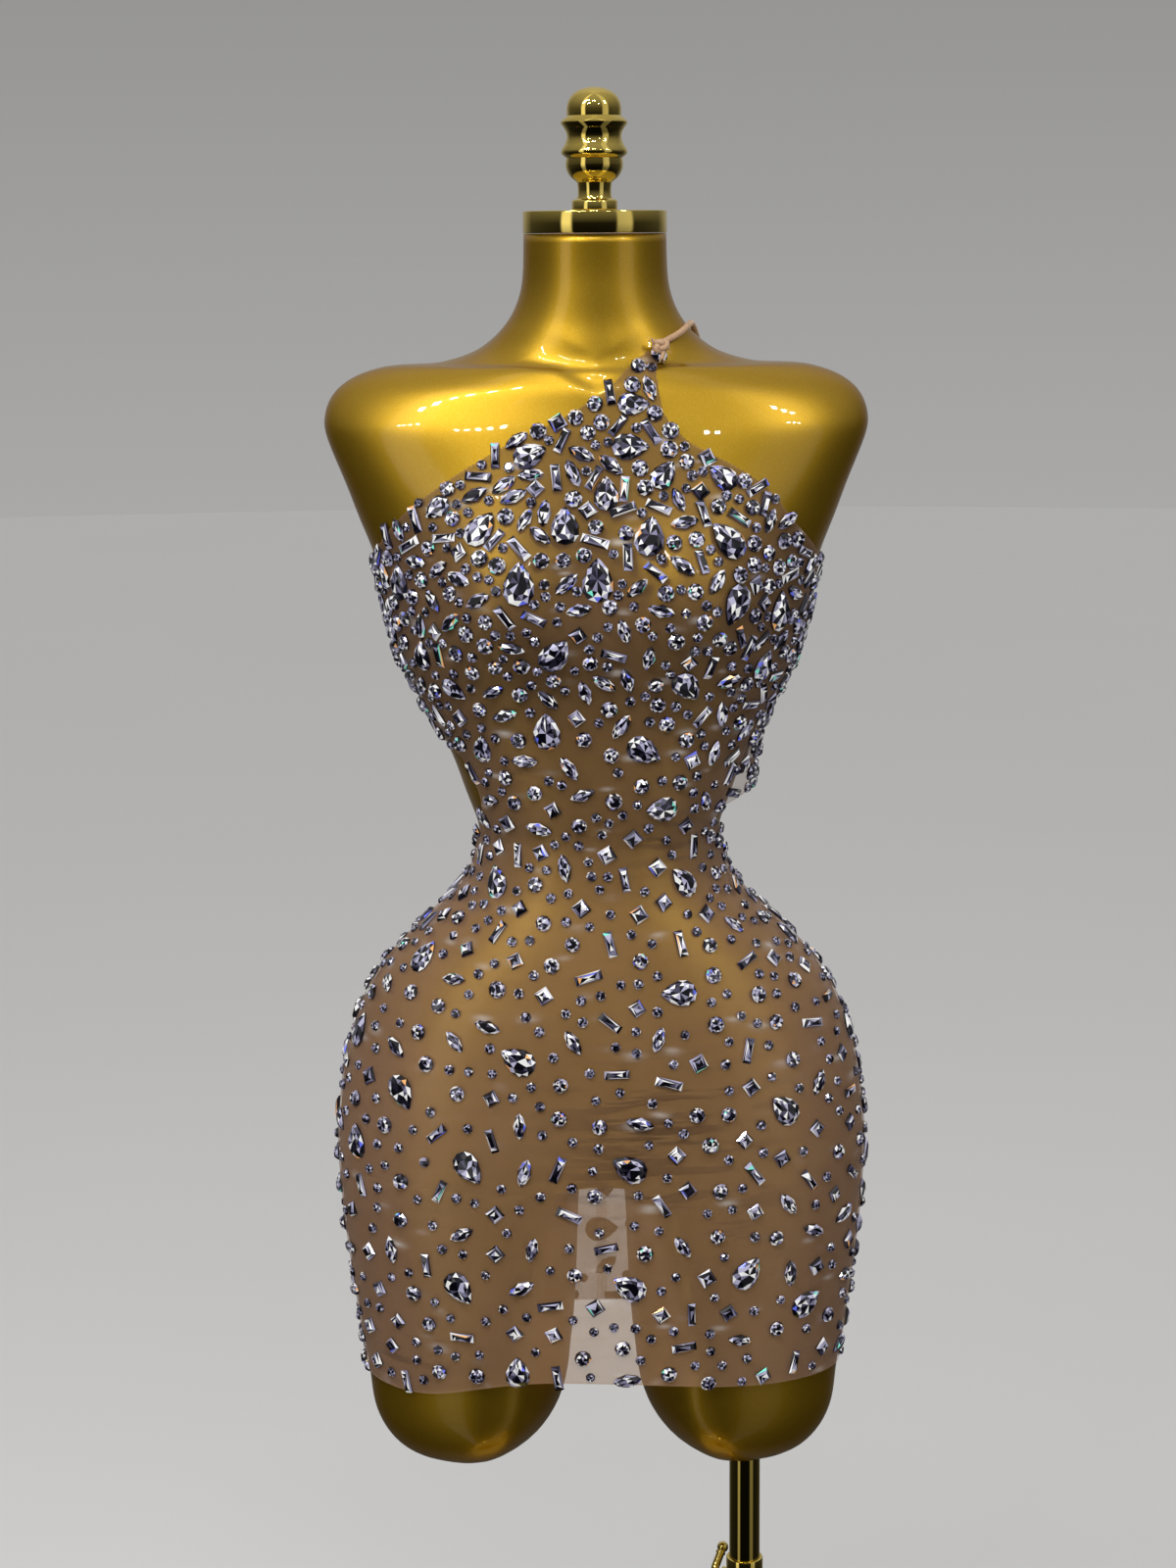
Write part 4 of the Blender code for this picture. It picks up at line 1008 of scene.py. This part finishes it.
def set_stones(pears, cloth):
    """Sets all stones: the large pears where the CAD has them, then the other kinds between them."""
    chance = np.random.RandomState(SEED)
    layout, stones = Layout(), []
    for pear in pears:
        stones.append(pear)
        layout.add(*layout.circles("pear", pear.centre, pear.axis, pear.size))
    for gaps, tries, small in ((LARGE_GAPS, LARGE_TRIES, False), (SMALL_GAPS, SMALL_TRIES, True)):
        for _ in range(tries):
            centre, normal, edge = cloth.draw(chance)
            share, turn, grow = chance.random(3)
            kind = "dot" if small else draw_kind(share, centre[2] > BODICE_FROM * MM)
            if kind == "square":
                # Squares stand on a corner, give or take a few degrees
                turn = 0.125 + 0.25 * (turn < 0.3) + 0.05 * turn
            axis = tangent(normal, turn * 2 * math.pi)
            size = LEAST_SIZE + SIZE_SPREAD * grow
            centres, radius = layout.circles(kind, centre, axis, size)
            if kind in ("baguette", "square") and centre[2] > TIP_FROM * MM:
                continue
            if edge < radius * EDGE_SHARE or not layout.fits(centres, radius, bare_gap(gaps, centre)):
                continue
            layout.add(centres, radius)
            stones.append(Stone(kind, centre, normal, axis, size))
    return stones


def make_stones(stones, material):
    """One joined piece for each kind of stone, with a value for each facet that picks its painted reflection."""
    chance = np.random.RandomState(SEED + 1)
    for kind, cut in CUTS.items():
        shape, faces = cut_stone(cut)
        rise = np.array([shape[list(f), 2].mean() for f in faces])[:, None] / cut.height
        # Painted reflections: the range of the ramp that each facet's random value falls in depends on how high
        # the facet lies
        reflection_range = np.where(rise > TOP_ABOVE, TOP_REFLECTIONS, np.where(rise > SIDES_ABOVE, SIDE_REFLECTIONS, GIRDLE_REFLECTIONS))
        low, high = reflection_range.T
        if kind == "dot":
            high = high * DOT_SHARE
        points, all_faces, facets = [], [], []
        for stone in (s for s in stones if s.kind == kind):
            tilt = np.radians(chance.uniform(-STONE_TILT, STONE_TILT, 2))
            normal = stone.normal + tilt[0] * stone.axis + tilt[1] * np.cross(stone.axis, stone.normal)
            normal /= np.linalg.norm(normal)
            along = stone.axis - normal * (stone.axis @ normal)
            along /= np.linalg.norm(along)
            turn = np.stack([np.cross(along, normal), along, normal])
            base = stone.centre - stone.normal * STONE_SINK * MM
            first = len(points) * len(shape)
            points.append(shape * stone.size * MM @ turn + base)
            all_faces += [tuple(first + v for v in f) for f in faces]
            facets.append(low + (high - low) * chance.random(len(faces)))
        mesh = bpy.data.meshes.new("stones_" + kind)
        mesh.from_pydata(np.concatenate(points).tolist(), [], all_faces)
        carry(mesh, "facet", np.concatenate(facets), "FACE")
        obj = linked("stones_" + kind, mesh)
        settle(obj, material, "figure")


def add_glow(sheets, stones):
    """Small spots of light that some stones throw on the net beside them."""
    chance = np.random.RandomState(SEED + 2)
    spots = [s.centre for s in stones if chance.random_sample() < GLOW_SHARE]
    shifts = chance.uniform(-GLOW_AWAY, GLOW_AWAY, (len(spots), 3)) * MM
    sizes = chance.uniform(*GLOW_SIZES, len(spots))
    for sheet in sheets:
        points = points_of(sheet.data)
        glow = np.zeros(len(points))
        for spot, shift, size in zip(spots, shifts, sizes):
            away = points - (spot + shift)
            flat = np.hypot(away[:, 0], away[:, 1]) / (GLOW_WIDE * size * MM)
            tall = away[:, 2] / (GLOW_TALL * size * MM)
            glow = np.maximum(glow, np.exp(-(flat**2) - tall**2) * size * GLOW_LIGHT)
        carry(sheet.data, "glow", np.clip(glow, 0, 1))


def smooth_route(route, step=3.0):
    """Points along a smooth curve through the route's places, in millimetres."""
    knots = [Vector(p) for p in route]
    knots = [knots[0] * 2 - knots[1]] + knots + [knots[-1] * 2 - knots[-2]]
    points = []
    for before, start, end, after in zip(knots, knots[1:], knots[2:], knots[3:]):
        count = max(2, round((end - start).length / step))
        for i in range(count):
            t = i / count
            curve = start * 2 + (end - before) * t
            curve += (before * 2 - start * 5 + end * 4 - after) * t**2
            curve += (start * 3 - before - end * 3 + after) * t**3
            points.append(curve * 0.5)
    return points + [knots[-2]]


def tube(name, points, radius, cyclic=False):
    """A round cord through millimetre points, as a mesh."""
    curve = bpy.data.curves.new(name, "CURVE")
    curve.dimensions = "3D"
    curve.bevel_depth = radius * MM
    curve.bevel_resolution = 4
    curve.use_fill_caps = True
    spline = curve.splines.new("POLY")
    spline.points.add(len(points) - 1)
    spline.use_cyclic_u = cyclic
    for place, point in zip(spline.points, points):
        place.co = (*(Vector(point) * MM), 1.0)
    obj = linked(name, curve)
    pick(obj)
    bpy.ops.object.convert(target="MESH")
    obj = bpy.context.object
    bpy.ops.object.shade_smooth()
    return obj


def join(obj, others):
    pick(obj)
    for other in others:
        other.select_set(True)
    bpy.ops.object.join()
    return obj


def make_strap(material):
    strap = tube("strap_cord", smooth_route(STRAP_ROUTE), STRAP_RADIUS)
    settle(strap, material, "figure", ["strap"])
    centre, lean = Vector(KNOT_CENTRE), Matrix.Rotation(math.radians(-KNOT_LEAN), 3, "Y")
    loops = []
    for i in range(KNOT_POINTS):
        t = 2 * math.pi * i / KNOT_POINTS
        ring = 1 + KNOT_SWELL * math.cos(3 * t)
        x, y, z = ring * math.cos(2 * t), math.sin(3 * t), ring * math.sin(2 * t)
        loops.append(centre + lean @ Vector((x * KNOT_SIZE[0], y * KNOT_SIZE[1], z * KNOT_SIZE[2])))
    knot = tube("strap_knot_loops", loops, KNOT_CORD, cyclic=True)
    ends = []
    chance = np.random.RandomState(SEED + 3)
    for number, route in enumerate(TAILS):
        ends.append(tube(f"tail_{number}", smooth_route(route, 0.8), TAIL_RADIUS))
        end = Vector(route[-1])
        along = (end - Vector(route[-2])).normalized()
        for i in range(FRAYS):
            side = Vector(chance.uniform(-1, 1, 3))
            start = end - along + side * TAIL_RADIUS * 0.6
            middle = start + (along * 1.0 + side * 0.5) * FRAY_LENGTH * 0.5
            tip = middle + (along * 0.7 + side * 0.7) * FRAY_LENGTH * 0.5
            ends.append(tube(f"fray_{number}_{i}", smooth_route((start, middle, tip), 1.2), FRAY_RADIUS))
    join(knot, ends)
    settle(knot, material, "figure", ["strap_knot"])


def place_in_mesh():
    """Puts the place and turn of the picked piece into its mesh."""
    bpy.ops.object.transform_apply(location=True, rotation=True, scale=True)


def smooth_rounds():
    bpy.ops.object.shade_smooth_by_angle(angle=math.radians(SMOOTH_ANGLE))


def bore(obj):
    """Opens both ends of a turned piece and joins their rims with an inner wall."""
    for polygon in obj.data.polygons:
        polygon.select = len(polygon.vertices) > 4
    edit(obj)
    bpy.ops.mesh.delete(type="ONLY_FACE")
    bpy.ops.mesh.select_mode(type="EDGE")
    bpy.ops.mesh.select_all(action="DESELECT")
    bpy.ops.mesh.select_non_manifold()
    bpy.ops.mesh.bridge_edge_loops()
    bpy.ops.mesh.select_mode(type="FACE")
    face_outwards()
    close_mesh()


def turned(name, profile, across=0.0, hollow=False):
    """A turned piece: a disc that is extruded and scaled ring by ring along its profile."""
    radius, height = profile[0]
    deselect()
    bpy.ops.mesh.primitive_circle_add(
        vertices=ROUND_STEPS, radius=radius * MM, fill_type="NGON", location=(across * MM, 0, height * MM)
    )
    obj = bpy.context.object
    obj.name = obj.data.name = name
    open_mesh(obj)
    for (before, low), (after, high) in zip(profile, profile[1:]):
        bpy.ops.mesh.extrude_region_move(TRANSFORM_OT_translate={"value": (0, 0, (high - low) * MM)})
        step = after / before
        bpy.ops.transform.resize(value=(step, step, 1), center_override=(across * MM, 0, high * MM))
    face_outwards()
    close_mesh()
    if hollow:
        bore(obj)
    pick(obj)
    place_in_mesh()
    smooth_rounds()
    return obj


def screw_direction():
    turn = math.radians(SCREW_TURN)
    return Vector((math.cos(turn), math.sin(turn), 0))


def make_nut():
    """Hexagonal nut on the outer tube, its corners eased."""
    axis, middle = screw_direction(), Vector((POLE_ACROSS, 0, SCREW_HEIGHT))
    centre = (middle + axis * (NUT_FROM + NUT_TO) / 2) * MM
    turn = axis.to_track_quat("Z", "Y").to_euler()
    deselect()
    bpy.ops.mesh.primitive_cylinder_add(
        vertices=6, radius=NUT_RADIUS * MM, depth=(NUT_TO - NUT_FROM) * MM, location=centre, rotation=turn
    )
    nut = bpy.context.object
    place_in_mesh()
    open_mesh(nut)
    bpy.ops.mesh.bevel(offset=NUT_EASE * MM, segments=3, affect="EDGES")
    close_mesh()
    smooth_rounds()
    return nut


def make_clamp(material):
    """L-shaped clamp screw: a rod that bends up into a lever with a ball end."""
    axis, middle = screw_direction(), Vector((POLE_ACROSS, 0, SCREW_HEIGHT))
    lean = math.radians(LEVER_LEAN)
    lever = Vector((0, 0, math.cos(lean))) + Vector((axis.y, -axis.x, 0)) * math.sin(lean)
    corner = middle + axis * LEVER_AT
    points = [middle + axis * SCREW_START]
    for i in range(BEND_STEPS + 1):
        turn = math.radians(90 * i / BEND_STEPS)
        back = axis * (math.sin(turn) - 1) * BEND_RADIUS
        points.append(corner + back + lever * (1 - math.cos(turn)) * BEND_RADIUS)
    tip = corner + lever * LEVER_LENGTH
    points.append(tip)
    clamp = tube("clamp_lever", points, SCREW_RADIUS)
    deselect()
    bpy.ops.mesh.primitive_uv_sphere_add(segments=32, ring_count=16, radius=BALL_RADIUS * MM, location=tip * MM)
    ball = bpy.context.object
    place_in_mesh()
    bpy.ops.object.shade_smooth()
    collar_ends = [tip - lever * COLLAR_FROM, tip - lever * COLLAR_TO]
    collar = tube("lever_collar", collar_ends, SCREW_RADIUS + COLLAR_WALL)
    join(clamp, [ball, collar])
    settle(clamp, material, "clamp", ["clamp_screw"])


def make_stand(material):
    settle(turned("neck_cap", RING_PROFILE), material, "figure", ["neck_ring"])
    settle(turned("turned_finial", FINIAL_PROFILE), material, "figure", ["finial"])
    settle(turned("mast_rod", MAST_PROFILE, POLE_ACROSS), material, "mast", ["mast"])
    outer = join(turned("pole_tube", TUBE_PROFILE, POLE_ACROSS, hollow=True), [make_nut()])
    settle(outer, material, "stand", ["outer_tube"])
    settle(turned("floor_plate", BASE_PROFILE), material, "stand", ["base_plate"])
    make_clamp(material)


def add_area_light(name, place, aim, size, power, colour=(1.0, 1.0, 1.0)):
    light = bpy.data.lights.new(name, "AREA")
    light.shape = "RECTANGLE"
    light.size, light.size_y = size
    light.energy = power
    light.color = colour
    obj = linked(name, light)
    obj.location = place
    obj.rotation_euler = (Vector(aim) - Vector(place)).to_track_quat("-Z", "Y").to_euler()
    obj.visible_camera = False
    return obj


def make_surroundings():
    """Pale surroundings. Gloss reflects a darker room instead, with bright bands and a dim ceiling."""
    world = bpy.data.worlds.new("studio")
    bpy.context.scene.world = world
    world.use_nodes = True
    room = Shading(world.node_tree)
    coords = room.add("TexCoord", {}, {}).outputs["Object"]
    x, y, z = (Value(room, socket) for socket in room.add("SeparateXYZ", {}, {0: coords}).outputs)
    turn = x.math("ARCTAN2", x, 0.0 - y) / (2 * math.pi) + 0.5
    stops = [(band.turn / 360 + 0.5, (band.light,) * 3) for band in ROOM_BANDS]
    bands = Value(room, room.ramp(turn, stops))
    above = z.math("MAXIMUM", z, 0.0)
    below = z.math("MAXIMUM", (1.0 + z * ROOM_FADE_BELOW).clamped(), ROOM_LEAST_BELOW)
    reflected = bands * below * (1.0 - above * ROOM_FADE_ABOVE) + above * ROOM_CEILING
    backdrop = BACKDROP_LOW - (z * HORIZON_FADE + 0.5).clamped() * (BACKDROP_LOW - BACKDROP_HIGH)
    path = room.add("LightPath", {}, {}).outputs
    seen, glossy = Value(room, path["Is Camera Ray"]), Value(room, path["Is Glossy Ray"])
    soft = (STUDIO_PALE + above * STUDIO_ABOVE) * (1.0 - seen - glossy)
    background = room.tree.nodes["Background"]
    room.join(background.inputs["Strength"], soft + backdrop * seen + reflected * glossy)
    room.join(background.inputs["Color"], STUDIO_WHITE)


def make_studio():
    """Plain pale floor, soft light and the small ceiling lamps that the gloss shows."""
    deselect()
    bpy.ops.mesh.primitive_circle_add(vertices=96, radius=FLOOR_RADIUS, fill_type="NGON")
    floor = bpy.context.object
    floor.name = "studio_floor"
    floor.data.materials.append(pale_floor())
    floor.visible_glossy = False
    make_surroundings()
    panel = add_area_light("ceiling_panel", PANEL_PLACE, PANEL_AIM, PANEL_SIZE, PANEL_POWER, PANEL_WHITE)
    panel.visible_glossy = False
    for row in LAMP_ROWS:
        for i in range(row.count):
            across = row.x + (i - (row.count - 1) / 2) * LAMP_STEP
            aim = (across * LAMP_AIM[0], *LAMP_AIM[1:])
            add_area_light("ceiling_lamp", (across, row.y, LAMP_HEIGHT), aim, (LAMP_SIZE, LAMP_SIZE), LAMP_POWER)


def set_camera():
    camera = bpy.data.cameras.new("camera")
    camera.lens = CAMERA_LENS
    camera.sensor_width = 36.0
    obj = linked("camera", camera)
    turn = Matrix.Rotation(math.radians(90 - CAMERA_DOWN), 4, "X")
    roll = Matrix.Rotation(math.radians(CAMERA_ROLL), 4, "Z")
    obj.matrix_world = Matrix.Translation(CAMERA_PLACE) @ turn @ roll
    bpy.context.scene.camera = obj


bpy.context.scene.view_settings.view_transform = "Standard"
set_camera()
paint, metal, net, cord, crystal = gold_paint(), mirror_gold(), stretch_net(), nude_cord(), cut_crystal()
form = make_form(paint)
form_tree = tree_of(form)
sheets = [make_sheet(sheet, net, form_tree) for sheet in SHEETS]
sheet_trees = [tree_of(obj) for obj in sheets]
pears = [p for sheet, tree in zip(SHEETS, sheet_trees) for p in raised_pears(sheet.node, tree)]
stones = set_stones(pears, Cloth(sheets))
make_stones(stones, crystal)
add_glow(sheets, stones)
make_strap(cord)
make_stand(metal)
make_studio()
